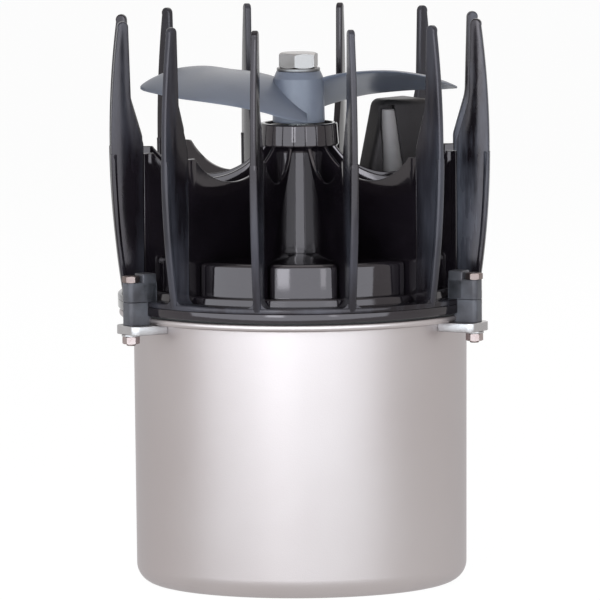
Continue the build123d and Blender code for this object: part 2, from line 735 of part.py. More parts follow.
motor_parts = {
    "motor_can": motor_can(),
    "cover_gasket": tube(88.4, RIM_RADIUS - 0.8, RIM_TOP, FLANGE_BOTTOM),
    "motor_cover": motor_cover(),
    "cover_lugs": three(cover_lug),
    "shaft_column": shaft_column(),
    "cover_ribs": cover_ribs(),
    "guard_cage": guard_cage(),
    "guard_fins": guard_fins(),
    "clamp_bars": three(clamp_bar),
    "ear_bolts": three(ear_bolt),
    "ear_washers": three(ear_washer),
    "ear_nuts": three(ear_nut),
    "cord_tower": cord_tower(),
    "cord_gland": cord_gland(),
    "shaft_seal": tube(SHAFT_RADIUS + BORE_CLEARANCE, SEAL_RADIUS, SEAL_BOTTOM, SEAL_TOP),
    "lower_end_bell": lower_end_bell(),
    "upper_end_bell": upper_end_bell(),
    "stator_core": stator_core(),
    "stator_windings": stator_windings(),
    "tie_rods": tie_rods(),
    "lower_bearing_outer": bearing_outer(LOWER_BEARING),
    "upper_bearing_outer": bearing_outer(UPPER_BEARING),
    "lower_bearing_inner": bearing_inner(LOWER_BEARING),
    "upper_bearing_inner": bearing_inner(UPPER_BEARING),
    "rotor_core": tube(SHAFT_CORE_RADIUS, ROTOR_RADIUS, STATOR_BOTTOM - 4, STATOR_TOP + 4),
    "drive_shaft": drive_shaft() - key_way(),
    "shaft_key": key_way(),
    "seal_slinger": tube(SHAFT_RADIUS, 15.5, SEAL_TOP + 0.8, SEAL_TOP + 2.6),
    "propeller": propeller() - key_way(),
    "prop_washer": tube(PROP_BOLT_RADIUS, PROP_WASHER_RADIUS, HUB_TOP, HUB_TOP + PROP_WASHER_THICKNESS),
    "prop_bolt": prop_bolt(),
}

os.makedirs("parts", exist_ok=True)
for name, shape in motor_parts.items():
    export_step(shape, f"parts/{name}.step")
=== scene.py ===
import math

import bmesh
import bpy
from mathutils import Matrix, Vector


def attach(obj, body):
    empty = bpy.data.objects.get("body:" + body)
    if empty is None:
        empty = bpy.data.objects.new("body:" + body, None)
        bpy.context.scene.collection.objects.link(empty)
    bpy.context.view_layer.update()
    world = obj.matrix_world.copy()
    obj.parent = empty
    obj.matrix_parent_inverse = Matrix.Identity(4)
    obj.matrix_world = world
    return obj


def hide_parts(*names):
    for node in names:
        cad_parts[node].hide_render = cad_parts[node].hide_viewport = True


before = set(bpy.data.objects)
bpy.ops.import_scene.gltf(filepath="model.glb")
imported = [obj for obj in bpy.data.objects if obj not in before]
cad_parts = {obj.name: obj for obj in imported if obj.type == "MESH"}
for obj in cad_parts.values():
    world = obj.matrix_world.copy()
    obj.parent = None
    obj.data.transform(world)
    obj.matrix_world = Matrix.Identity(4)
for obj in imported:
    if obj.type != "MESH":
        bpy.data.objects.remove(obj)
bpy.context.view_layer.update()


# Motor can. A pot deep-drawn from stainless sheet and blasted to an even satin. Its rim is rolled
# outward, and the cover is clamped down on it, so the motor inside stays dry.
MM = 0.001
CAN_RADIUS = 88.9
CAN_FOOT_RADIUS = 88.1
CAN_WALL = 1.2
CAN_CORNER = 10.5
RIM_RADIUS = 96.5
RIM_BOTTOM = 143.2
RIM_TOP = 147.2
RIM_ROOT_ROUND = 0.9
RIM_EDGE_ROUND = 1.9
MOUTH_ROUND = 1.5
PIT_DEPTH = 0.0002
STEEL_COLOUR = (0.45, 0.41, 0.405)
STEEL_SHADE = (0.42, 0.375, 0.37)


def soften(points, radii, steps=6):
    """Rounds each corner of a closed outline with its own radius."""
    outline = []
    for index, point in enumerate(points):
        radius = radii[index]
        if radius == 0:
            outline.append(tuple(point))
            continue
        here = Vector(point)
        before = (Vector(points[index - 1]) - here).normalized()
        after = (Vector(points[(index + 1) % len(points)]) - here).normalized()
        half = before.angle(after) / 2
        centre = here + (before + after).normalized() * (radius / math.sin(half))
        first = here + before * (radius / math.tan(half)) - centre
        last = here + after * (radius / math.tan(half)) - centre
        start = math.atan2(first.y, first.x)
        sweep = (math.atan2(last.y, last.x) - start + math.pi) % math.tau - math.pi
        for step in range(steps + 1):
            angle = start + sweep * step / steps
            outline.append(
                (centre.x + radius * math.cos(angle), centre.y + radius * math.sin(angle))
            )
    return outline


def shade(mesh, sharp=32):
    """Smooth shading that stays crisp where faces meet at more than the sharp angle."""
    mesh.polygons.foreach_set("use_smooth", [True] * len(mesh.polygons))
    mesh.set_sharp_from_angle(angle=math.radians(sharp))


def piece_from(build, name, material, sharp=32):
    """Turns a bmesh into an object at the origin, with its faces pointing outwards."""
    bmesh.ops.remove_doubles(build, verts=build.verts, dist=1e-7)
    bmesh.ops.recalc_face_normals(build, faces=build.faces)
    mesh = bpy.data.meshes.new(name)
    build.to_mesh(mesh)
    build.free()
    mesh.materials.append(material)
    shade(mesh, sharp)
    piece = bpy.data.objects.new(name, mesh)
    bpy.context.scene.collection.objects.link(piece)
    return piece


def skin(build, rings, closed):
    """Joins rings of the same number of corners with faces, and closes the chain if asked."""
    pairs = list(zip(rings, rings[1:]))
    if closed:
        pairs.append((rings[-1], rings[0]))
    for lower, upper in pairs:
        for index in range(len(lower)):
            after = (index + 1) % len(lower)
            quad = dict.fromkeys((lower[index], lower[after], upper[after], upper[index]))
            if len(quad) > 2:
                build.faces.new(list(quad))


def turned(name, outline, material, slices):
    """A body of revolution about Z, from a closed outline of (radius, height) in millimetres."""
    build = bmesh.new()
    rings = []
    for radius, height in outline:
        if radius < 1e-6:
            rings.append([build.verts.new((0, 0, height * MM))] * slices)
            continue
        ring = []
        for index in range(slices):
            angle = math.tau * index / slices
            x, y = radius * MM * math.cos(angle), radius * MM * math.sin(angle)
            ring.append(build.verts.new((x, y, height * MM)))
        rings.append(ring)
    skin(build, rings, closed=True)
    return piece_from(build, name, material)


def add(tree, kind, settings=None, **inputs):
    """Adds a node to a tree, sets its properties, and fills or links its inputs by name."""
    node = tree.nodes.new(kind)
    for key, value in (settings or {}).items():
        setattr(node, key, value)
    for key, value in inputs.items():
        socket = node.inputs[int(key[1:])] if key[0] == "_" else node.inputs[key.replace("_", " ")]
        if isinstance(value, bpy.types.NodeSocket):
            tree.links.new(value, socket)
        else:
            socket.default_value = value
    return node


def shader_group(name, inputs, outputs):
    """A shader node group with named sockets; returns the tree with its input and output nodes."""
    tree = bpy.data.node_groups.new(name, "ShaderNodeTree")
    for label, kind, value in inputs:
        socket = tree.interface.new_socket(label, in_out="INPUT", socket_type=kind)
        if value is not None:
            socket.default_value = value
    for label, kind in outputs:
        tree.interface.new_socket(label, in_out="OUTPUT", socket_type=kind)
    return tree, tree.nodes.new("NodeGroupInput"), tree.nodes.new("NodeGroupOutput")


# The round coordinates unroll a turned piece: arc length at a set radius, distance from the
# axis, and height.
round_tree, given, result = shader_group(
    "Round Coordinates",
    [("Vector", "NodeSocketVector", None), ("Radius", "NodeSocketFloat", 0.1)],
    [("Vector", "NodeSocketVector")],
)
split = add(round_tree, "ShaderNodeSeparateXYZ", _0=given.outputs["Vector"])
angle = add(
    round_tree, "ShaderNodeMath", {"operation": "ARCTAN2"},
    _0=split.outputs["Y"], _1=split.outputs["X"],
)
arc = add(
    round_tree, "ShaderNodeMath", {"operation": "MULTIPLY"},
    _0=angle.outputs[0], _1=given.outputs["Radius"],
)
flat = add(round_tree, "ShaderNodeCombineXYZ", X=split.outputs["X"], Y=split.outputs["Y"])
reach = add(round_tree, "ShaderNodeVectorMath", {"operation": "LENGTH"}, _0=flat.outputs[0])
joined = add(
    round_tree, "ShaderNodeCombineXYZ",
    X=arc.outputs[0], Y=reach.outputs["Value"], Z=split.outputs["Z"],
)
round_tree.links.new(joined.outputs[0], result.inputs["Vector"])

# The grain is a fine even pitting, such as blasted metal or a sparked mould leaves, with a slow
# drift over the piece. The drift is a mask for colour and gloss, and the pitting a height.
grain_tree, given, result = shader_group(
    "Fine Grain",
    [
        ("Vector", "NodeSocketVector", None),
        ("Grain Scale", "NodeSocketFloat", 900.0),
        ("Drift Scale", "NodeSocketFloat", 14.0),
    ],
    [("Height", "NodeSocketFloat"), ("Drift", "NodeSocketFloat")],
)
pits = add(
    grain_tree, "ShaderNodeTexNoise",
    Vector=given.outputs["Vector"], Scale=given.outputs["Grain Scale"], Detail=3.0, Roughness=0.55,
)
drift = add(
    grain_tree, "ShaderNodeTexNoise",
    Vector=given.outputs["Vector"], Scale=given.outputs["Drift Scale"], Detail=4.0, Roughness=0.5,
)
spread = add(grain_tree, "ShaderNodeMapRange", Value=drift.outputs[0], From_Min=0.32, From_Max=0.68)
grain_tree.links.new(pits.outputs[0], result.inputs["Height"])
grain_tree.links.new(spread.outputs[0], result.inputs["Drift"])


def new_material(name, **surface):
    """A material whose shader has these plain values; returns it with its tree and shader."""
    material = bpy.data.materials.new(name)
    material.use_nodes = True
    shader = material.node_tree.nodes["Principled BSDF"]
    for key, value in surface.items():
        shader.inputs[key.replace("_", " ")].default_value = value
    return material, material.node_tree, shader


def grained(tree, shader, light, dark, rough, depth, scale=900.0, drift=14.0, round_radius=None):
    """Finishes a shader with the grain: two shades by drift, a range of roughness, and a bump."""
    place = add(tree, "ShaderNodeTexCoord").outputs["Object"]
    if round_radius:
        unrolled = add(
            tree, "ShaderNodeGroup", {"node_tree": round_tree}, Vector=place, Radius=round_radius
        )
        place = unrolled.outputs["Vector"]
    grain = add(
        tree, "ShaderNodeGroup", {"node_tree": grain_tree},
        Vector=place, Grain_Scale=scale, Drift_Scale=drift,
    )
    colour = add(tree, "ShaderNodeMix", {"data_type": "RGBA"}, Factor=grain.outputs["Drift"])
    colour.inputs[6].default_value = (*dark, 1)
    colour.inputs[7].default_value = (*light, 1)
    gloss = add(
        tree, "ShaderNodeMapRange", Value=grain.outputs["Drift"], To_Min=rough[0], To_Max=rough[1]
    )
    bump = add(
        tree, "ShaderNodeBump", Strength=depth, Distance=PIT_DEPTH, Height=grain.outputs["Height"]
    )
    tree.links.new(colour.outputs[2], shader.inputs["Base Color"])
    tree.links.new(gloss.outputs[0], shader.inputs["Roughness"])
    tree.links.new(bump.outputs[0], shader.inputs["Normal"])
    return place, colour, gloss, bump


def finish(name, light, dark, rough, depth, scale=900.0, drift=14.0, round_radius=None, **surface):
    """A material with plain shader values, finished with the grain."""
    material, tree, shader = new_material(name, **surface)
    grained(tree, shader, light, dark, rough, depth, scale, drift, round_radius)
    return material


can_steel = finish(
    "blasted_can_steel", STEEL_COLOUR, STEEL_SHADE, (0.38, 0.42), 0.2, scale=1400.0, drift=9.0,
    Metallic=1.0, Specular_Tint=(0.8, 0.8, 0.81, 1),
)

inner = CAN_RADIUS - CAN_WALL
inner_foot = CAN_FOOT_RADIUS - CAN_WALL
can_outline = soften(
    [
        (0, 0), (CAN_FOOT_RADIUS, 0), (CAN_RADIUS, RIM_BOTTOM), (RIM_RADIUS, RIM_BOTTOM),
        (RIM_RADIUS, RIM_TOP), (inner, RIM_TOP), (inner_foot, CAN_WALL), (0, CAN_WALL),
    ],
    [
        0, CAN_CORNER, RIM_ROOT_ROUND, RIM_EDGE_ROUND,
        RIM_EDGE_ROUND, MOUTH_ROUND, CAN_CORNER - CAN_WALL, 0,
    ],
    steps=10,
)
can_shell = turned("can_shell", can_outline, can_steel, slices=256)
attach(can_shell, "housing")
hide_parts("motor_can")


# Cover moulding. Glossy black plastic: a flange that closes the can with a spigot inside its rim,
# a low plinth, and twelve hollow pockets moulded in a ring round the shaft.
FLANGE_RADIUS = 97.3
FLANGE_BOTTOM = 147.9
FLANGE_TOP = 152.7
SPIGOT_RADIUS = 87.2
SPIGOT_WALL = 4.0
SPIGOT_DEPTH = 6.0
PLINTH_RADIUS = 84.0
PLINTH_DRAFT = 0.8
PLINTH_TOP = 159.3
COLUMN_BORE = 10.3
RIB_COUNT = 12
RIB_STEP = 360 / RIB_COUNT
POCKET_TOP = 177.2
POCKET_RADIUS = 80.0
POCKET_INNER = 17.0
POCKET_GAP = 1.8
POCKET_CORNER = 3.2
POCKET_INNER_CORNER = 0.8
POCKET_ROUND = 2.6
SUNK = 1.0  # how far a piece runs on inside the one that carries it
BLACK = (0.0045, 0.0035, 0.0045)
BLACK_DULL = (0.010, 0.0075, 0.010)


def arc_through(start, middle, end, steps):
    """Points on the circular arc through three points."""
    (ax, ay), (bx, by), (cx, cy) = start, middle, end
    cross = 2 * (ax * (by - cy) + bx * (cy - ay) + cx * (ay - by))
    a, b, c = ax * ax + ay * ay, bx * bx + by * by, cx * cx + cy * cy
    x = (a * (by - cy) + b * (cy - ay) + c * (ay - by)) / cross
    y = (a * (cx - bx) + b * (ax - cx) + c * (bx - ax)) / cross
    radius = math.hypot(ax - x, ay - y)
    first = math.atan2(ay - y, ax - x)
    through = (math.atan2(by - y, bx - x) - first) % math.tau
    sweep = (math.atan2(cy - y, cx - x) - first) % math.tau
    if through > sweep:
        sweep -= math.tau
    angles = [first + sweep * step / steps for step in range(steps + 1)]
    return [(x + radius * math.cos(angle), y + radius * math.sin(angle)) for angle in angles]


def inset(outline, distance):
    """Moves each corner of a closed outline inwards along its own mitre."""
    pairs = zip(outline, outline[1:] + outline[:1])
    area = sum(here[0] * after[1] - after[0] * here[1] for here, after in pairs)
    side = 1 if area > 0 else -1
    moved = []
    for index, (x, y) in enumerate(outline):
        before = Vector((x, y)) - Vector(outline[index - 1])
        after = Vector(outline[(index + 1) % len(outline)]) - Vector((x, y))
        first = Vector((-before.y, before.x)).normalized() * side
        second = Vector((-after.y, after.x)).normalized() * side
        mitre = (first + second) / max(1 + first.dot(second), 0.35)
        moved.append((x + mitre.x * distance, y + mitre.y * distance))
    return moved


def rounded_levels(bottom, top, edge, foot=0.0, steps=5):
    """Levels of (inset, height) for a block with rounded upper and, if asked, lower edges."""
    levels = []
    if foot:
        for step in range(steps + 1):
            angle = math.pi / 2 * step / steps
            levels.append((foot * (1 - math.sin(angle)), bottom + foot * (1 - math.cos(angle))))
    else:
        levels.append((0, bottom))
    for step in range(steps + 1):
        angle = math.pi / 2 * step / steps
        levels.append((edge * (1 - math.cos(angle)), top - edge * (1 - math.sin(angle))))
    return levels


def capped(build, rings):
    """Skins a chain of rings and closes both its ends."""
    skin(build, rings, closed=False)
    build.faces.new(rings[0])
    build.faces.new(rings[-1])


def stack(build, outline, levels, upright=True):
    """Skins an outline through its levels, which rise along Z, or else run across a radius."""
    rings = []
    for distance, height in levels:
        ring = []
        for u, v in inset(outline, distance) if distance else outline:
            place = (u, v, height) if upright else (u, height, v)
            ring.append(build.verts.new(Vector(place) * MM))
        rings.append(ring)
    capped(build, rings)


# One geometry tree copies what it is given round the axis. It makes every ring of like pieces here:
# the pockets, the ribs, the fins and the hardware of the three ears.
ring_tree = bpy.data.node_groups.new("Ring Of Pieces", "GeometryNodeTree")
ring_tree.interface.new_socket("Geometry", in_out="INPUT", socket_type="NodeSocketGeometry")
ring_sockets = {}
for label, kind in (
    ("Count", "NodeSocketInt"),
    ("First Bearing", "NodeSocketFloat"),
    ("Finish", "NodeSocketMaterial"),
):
    socket = ring_tree.interface.new_socket(label, in_out="INPUT", socket_type=kind)
    ring_sockets[label] = socket.identifier
ring_tree.interface.new_socket("Geometry", in_out="OUTPUT", socket_type="NodeSocketGeometry")
given = ring_tree.nodes.new("NodeGroupInput")
result = ring_tree.nodes.new("NodeGroupOutput")
spots = add(ring_tree, "GeometryNodeMeshLine", Count=given.outputs["Count"], Offset=(0, 0, 0))
index = add(ring_tree, "GeometryNodeInputIndex")
step = add(
    ring_tree, "ShaderNodeMath", {"operation": "DIVIDE"}, _0=360.0, _1=given.outputs["Count"]
)
along = add(
    ring_tree, "ShaderNodeMath", {"operation": "MULTIPLY_ADD"},
    _0=index.outputs[0], _1=step.outputs[0], _2=given.outputs["First Bearing"],
)
radians = add(ring_tree, "ShaderNodeMath", {"operation": "RADIANS"}, _0=along.outputs[0])
turn = add(ring_tree, "ShaderNodeCombineXYZ", Z=radians.outputs[0])
turned_copies = add(
    ring_tree, "GeometryNodeInstanceOnPoints",
    Points=spots.outputs[0], Instance=given.outputs["Geometry"], Rotation=turn.outputs[0],
)
real = add(ring_tree, "GeometryNodeRealizeInstances", _0=turned_copies.outputs[0])
dressed = add(
    ring_tree, "GeometryNodeSetMaterial", Geometry=real.outputs[0], Material=given.outputs["Finish"]
)
ring_tree.links.new(dressed.outputs[0], result.inputs[0])


def settle(piece):
    """Makes what a piece's modifiers show its plain mesh, and takes the modifiers off."""
    bpy.context.view_layer.update()
    graph = bpy.context.evaluated_depsgraph_get()
    mesh = bpy.data.meshes.new_from_object(piece.evaluated_get(graph))
    piece.modifiers.clear()
    piece.data = mesh
    return mesh


def ring_of(piece, count, first_bearing, material):
    """Copies a piece drawn along +X round the axis, from a bearing counted from the front."""
    modifier = piece.modifiers.new("ring", "NODES")
    modifier.node_group = ring_tree
    modifier[ring_sockets["Count"]] = count
    modifier[ring_sockets["First Bearing"]] = float(first_bearing - 90)
    modifier[ring_sockets["Finish"]] = material
    settle(piece).name = piece.name


cover_black = finish(
    "gloss_black_cover", BLACK_DULL, BLACK, (0.04, 0.09), 0.04, scale=700.0, drift=26.0,
    Specular_IOR_Level=0.5, Specular_Tint=(1, 0.91, 0.93, 1),
)

flange_outline = soften(
    [
        (COLUMN_BORE, FLANGE_BOTTOM), (SPIGOT_RADIUS - SPIGOT_WALL, FLANGE_BOTTOM),
        (SPIGOT_RADIUS - SPIGOT_WALL, FLANGE_BOTTOM - SPIGOT_DEPTH),
        (SPIGOT_RADIUS, FLANGE_BOTTOM - SPIGOT_DEPTH), (SPIGOT_RADIUS, FLANGE_BOTTOM),
        (FLANGE_RADIUS, FLANGE_BOTTOM), (FLANGE_RADIUS, FLANGE_TOP),
        (PLINTH_RADIUS + PLINTH_DRAFT, FLANGE_TOP), (PLINTH_RADIUS, PLINTH_TOP),
        (COLUMN_BORE, PLINTH_TOP),
    ],
    [0, 0, 0.4, 0.4, 0, 0.7, 0.5, 0.6, 1.2, 0],
    steps=4,
)
cover_flange = turned("cover_flange", flange_outline, cover_black, slices=256)
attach(cover_flange, "housing")
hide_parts("motor_cover")

half_step = math.radians(RIB_STEP / 2)


def wedge(inner, outer, gap):
    """Corners of a pie-shaped plan along +X that keeps a gap to the ribs on both sides."""
    cos_half = math.cos(half_step)
    near = inner * math.tan(half_step) - gap / cos_half
    edge_x = outer * cos_half
    far = edge_x * math.tan(half_step) - gap / cos_half
    bow = arc_through((edge_x, -far), (outer, 0), (edge_x, far), 10)
    return [(inner, near), (inner, -near)] + bow


pocket_corners = wedge(POCKET_INNER, POCKET_RADIUS, POCKET_GAP)
corner_numbers = (0, 1, 2, len(pocket_corners) - 1)
bow_limit = abs(pocket_corners[2][1]) - POCKET_CORNER * 1.1
trimmed = [
    corner for number, corner in enumerate(pocket_corners)
    if number in corner_numbers or abs(corner[1]) < bow_limit
]
pocket_radii = [POCKET_INNER_CORNER, POCKET_INNER_CORNER, POCKET_CORNER]
pocket_radii += [0] * (len(trimmed) - len(corner_numbers)) + [POCKET_CORNER]
build = bmesh.new()
pocket_levels = rounded_levels(FLANGE_TOP + SUNK, POCKET_TOP, POCKET_ROUND)
stack(build, soften(trimmed, pocket_radii, steps=6), pocket_levels)
pocket_ring = piece_from(build, "pocket_ring", cover_black, sharp=40)
ring_of(pocket_ring, RIB_COUNT, 0, cover_black)
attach(pocket_ring, "housing")


# Shaft column and ribs. The same moulding rises to a cup that holds the shaft seal; twelve thin
# webs brace it, each cut away at the top in a saddle so that the water can pass to the propeller.
COLUMN_FOOT_RADIUS = 19.2
COLUMN_NECK_RADIUS = 15.6
CUP_RADIUS = 20.5
CUP_BASE_RADIUS = 21.4
CUP_INNER_RADIUS = 18.0
CUP_BOTTOM = 233.6
CUP_TOP = 245.7
SEAL_RADIUS = 15.9
SEAL_BOTTOM = 236.0
SEAL_TOP = 242.0
RIB_THICKNESS = 2.2
RIB_EDGE = 0.5
RIB_RADIUS = 86.3
RIB_LEDGE_HEIGHT = 231.8
RIB_ARC_RADIUS = 38.0
RIB_ARC_CENTRE = (51.0, 255.6)
column_outline = soften(
    [
        (COLUMN_BORE, PLINTH_TOP), (COLUMN_FOOT_RADIUS, PLINTH_TOP),
        (COLUMN_NECK_RADIUS, CUP_BOTTOM), (CUP_BASE_RADIUS, CUP_BOTTOM), (CUP_RADIUS, CUP_TOP),
        (CUP_INNER_RADIUS, CUP_TOP), (CUP_INNER_RADIUS, SEAL_TOP), (SEAL_RADIUS, SEAL_TOP),
        (SEAL_RADIUS, SEAL_BOTTOM), (COLUMN_BORE, SEAL_BOTTOM),
    ],
    [0, 0, 3.0, 1.2, 0.9, 0.5, 0.3, 0, 0, 0],
    steps=5,
)
trumpet_column = turned("trumpet_column", column_outline, cover_black, slices=128)
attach(trumpet_column, "housing")
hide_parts("shaft_column")

arc_r, arc_z = RIB_ARC_CENTRE
ledge_r = arc_r + math.sqrt(RIB_ARC_RADIUS**2 - (arc_z - RIB_LEDGE_HEIGHT) ** 2)
root_r = CUP_RADIUS - SUNK
root_z = arc_z - math.sqrt(RIB_ARC_RADIUS**2 - (arc_r - root_r) ** 2)
saddle = arc_through(
    (ledge_r, RIB_LEDGE_HEIGHT), (arc_r, arc_z - RIB_ARC_RADIUS), (root_r, root_z), 36
)
inside_column = COLUMN_NECK_RADIUS - SUNK
inside_cup = CUP_BOTTOM + 2 * SUNK
rib_outline = [
    (inside_column, FLANGE_TOP + SUNK), (RIB_RADIUS, FLANGE_TOP + SUNK),
    (RIB_RADIUS, RIB_LEDGE_HEIGHT), *saddle, (root_r, inside_cup), (inside_column, inside_cup),
]


def plate_levels(thickness, edge, steps=3):
    """Levels of (inset, depth) for an upright plate with both edges rounded."""
    half = thickness / 2
    front = []
    for step in range(steps + 1):
        angle = math.pi / 2 * step / steps
        front.append((edge * (1 - math.sin(angle)), half - edge * (1 - math.cos(angle))))
    return [(distance, -depth) for distance, depth in front] + front[::-1]


build = bmesh.new()
stack(build, rib_outline, plate_levels(RIB_THICKNESS, RIB_EDGE), upright=False)
rib_crown = piece_from(build, "rib_crown", cover_black, sharp=50)
ring_of(rib_crown, RIB_COUNT, RIB_STEP / 2, cover_black)
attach(rib_crown, "housing")
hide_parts("cover_ribs")


# Guard cage. A second black moulding: a hoop on the cover's flange with a crown of twelve tall
# fins that keep weed and hands off the propeller, each bellied outside and hollowed inside.
CAGE_RING_INNER = 86.8
CAGE_RING_TOP = 155.6
FIN_TIP = 302.4
FIN_THICKNESS = 3.4
FIN_EDGE = 0.9
BEAD_THICKNESS = 4.4
BEAD_EDGE = 1.2
BEAD_DEPTH = 3.0
BEAD_PROUD = 0.2
BEAD_TOP = 231.8
FIN_INNER = RIB_RADIUS
FIN_BELLY = (104.0, 230.0)
FIN_SHOULDER = (99.9, FIN_TIP - 4)
FIN_CREST = (97.2, FIN_TIP)
FIN_TIP_INNER = (94.2, FIN_TIP - 3)
FIN_WAIST = (93.0, 259.0)
WAIST_BEND = 24
FIN_HIP = (FIN_INNER, 237.0)
HIP_BEND = 9
FOOT_WIDTH = 12.0
FOOT_HEIGHT = 5.0
FOOT_BEND = 0.32
FOOT_SETBACK = 0.6
FOOT_SUNK = 0.4
FIN_SUNK = 0.3
FIN_SCUFF_AND_SHEEN = (0.10, 0.103, 0.125)

# The scuffs are long pale streaks up the fins, where wear and dried water dull the plastic. On the
# right-hand fins they are also a painted sheen that stands in for the light those fins catch.
scuff_and_sheen_tree, given, result = shader_group(
    "Streaked Scuffs And Painted Sheen",
    [
        ("Vector", "NodeSocketVector", None),
        ("Scale", "NodeSocketFloat", 60.0),
        ("Amount", "NodeSocketFloat", 0.5),
    ],
    [("Mask", "NodeSocketFloat"), ("Height", "NodeSocketFloat")],
)
stretch = add(
    scuff_and_sheen_tree, "ShaderNodeMapping", {"vector_type": "POINT"},
    Vector=given.outputs["Vector"], Scale=(1, 1, 0.12),
)
streaks = add(
    scuff_and_sheen_tree, "ShaderNodeTexNoise",
    Vector=stretch.outputs[0], Scale=given.outputs["Scale"], Detail=6.0, Roughness=0.62,
)
patches = add(
    scuff_and_sheen_tree, "ShaderNodeTexNoise",
    Vector=given.outputs["Vector"], Scale=11.0, Detail=3.0, Roughness=0.5,
)


def product(tree, first, second):
    """The output of a node that multiplies two others."""
    return add(tree, "ShaderNodeMath", {"operation": "MULTIPLY"}, _0=first, _1=second).outputs[0]


both = product(scuff_and_sheen_tree, streaks.outputs[0], patches.outputs[0])
cut = add(scuff_and_sheen_tree, "ShaderNodeMapRange", Value=both, From_Min=0.20, From_Max=0.34)
# The streaks are at full strength on the right, past 87 mm, as a painted sheen where those fins
# catch the light. Elsewhere they are about a third of that, as wear.
spot = add(scuff_and_sheen_tree, "ShaderNodeSeparateXYZ", Vector=given.outputs["Vector"])
side = add(
    scuff_and_sheen_tree, "ShaderNodeMapRange",
    Value=spot.outputs[0], From_Min=0.07, From_Max=0.087, To_Min=0.3, To_Max=1.0,
)
wear_and_sheen = product(scuff_and_sheen_tree, cut.outputs[0], side.outputs[0])
level = product(scuff_and_sheen_tree, wear_and_sheen, given.outputs["Amount"])
scuff_and_sheen_tree.links.new(level, result.inputs["Mask"])
scuff_and_sheen_tree.links.new(streaks.outputs[0], result.inputs["Height"])


def scuffed_with_sheen(tree, shader, place, colour, gloss, pale, dull, scale=60.0, amount=0.6):
    """Lays pale dull streaks, wear with a painted sheen, over a grained material's colour and
    gloss.
    """
    scuff_sheen_node = add(
        tree, "ShaderNodeGroup", {"node_tree": scuff_and_sheen_tree}, Vector=place, Scale=scale, Amount=amount
    )
    mask = scuff_sheen_node.outputs["Mask"]
    over = add(tree, "ShaderNodeMix", {"data_type": "RGBA"}, Factor=mask, _6=colour.outputs[2])
    over.inputs[7].default_value = (*pale, 1)
    duller = add(tree, "ShaderNodeMix", Factor=mask, _2=gloss.outputs[0], _3=dull)
    tree.links.new(over.outputs[2], shader.inputs["Base Color"])
    tree.links.new(duller.outputs[0], shader.inputs["Roughness"])


cage_black, tree, shader = new_material(
    "gloss_black_cage", Specular_IOR_Level=0.3, Specular_Tint=(1, 0.9, 0.92, 1)
)
place, colour, gloss, _ = grained(
    tree, shader, BLACK_DULL, BLACK, (0.10, 0.19), 0.07, scale=650.0, drift=22.0
)
# Pale streaks over the fins: wear all round, with a painted sheen on the right-hand fins.
scuffed_with_sheen(tree, shader, place, colour, gloss, FIN_SCUFF_AND_SHEEN, 0.42, amount=0.9)

hoop_outline = soften(
    [
        (CAGE_RING_INNER, FLANGE_TOP), (FLANGE_RADIUS, FLANGE_TOP), (FLANGE_RADIUS, CAGE_RING_TOP),
        (CAGE_RING_INNER, CAGE_RING_TOP),
    ],
    [0.3, 0.5, 1.0, 0.5],
    steps=5,
)
cage_hoop = turned("cage_hoop", hoop_outline, cage_black, slices=256)
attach(cage_hoop, "housing")
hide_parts("guard_cage")

fin_root = FLANGE_TOP + FIN_SUNK
outer_edge = arc_through((FLANGE_RADIUS - FIN_SUNK, fin_root), FIN_BELLY, FIN_SHOULDER, 48)
tip = arc_through(FIN_SHOULDER, FIN_CREST, FIN_TIP_INNER, 10)
fin_corners = outer_edge + tip[1:] + [FIN_WAIST, FIN_HIP, (FIN_INNER, fin_root)]
fin_radii = [0] * (len(fin_corners) - 3) + [WAIST_BEND, HIP_BEND, 0]
fin_outline = soften(fin_corners, fin_radii, steps=8)
bead_outer = [point for point in outer_edge if point[1] < BEAD_TOP]
bead_outer += [(FIN_BELLY[0] - 0.02, BEAD_TOP)]
bead_outline = [(r + BEAD_PROUD, z) for r, z in bead_outer]
bead_outline += [(r - BEAD_DEPTH, z) for r, z in reversed(bead_outer)]
build = bmesh.new()
stack(build, fin_outline, plate_levels(FIN_THICKNESS, FIN_EDGE, 4), upright=False)
stack(build, bead_outline, plate_levels(BEAD_THICKNESS, BEAD_EDGE, 4), upright=False)

foot_rise = CAGE_RING_TOP - FOOT_SUNK
foot_elbow = FIN_THICKNESS / 2 + FOOT_BEND * (FOOT_WIDTH - FIN_THICKNESS) / 2
foot_side = arc_through(
    (FOOT_WIDTH / 2, foot_rise),
    (foot_elbow, foot_rise + FOOT_BEND * FOOT_HEIGHT),
    (FIN_THICKNESS / 2, foot_rise + FOOT_HEIGHT),
    8,
)
foot_section = foot_side + [(-y, z) for y, z in reversed(foot_side)]
rings = []
for radius in (FIN_INNER + FOOT_SETBACK, FLANGE_RADIUS - SUNK / 2):
    rings.append([build.verts.new(Vector((radius, y, z)) * MM) for y, z in foot_section])
capped(build, rings)
fin_crown = piece_from(build, "fin_crown", cage_black, sharp=45)
ring_of(fin_crown, RIB_COUNT, RIB_STEP / 2, cage_black)
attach(fin_crown, "housing")
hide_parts("guard_fins")


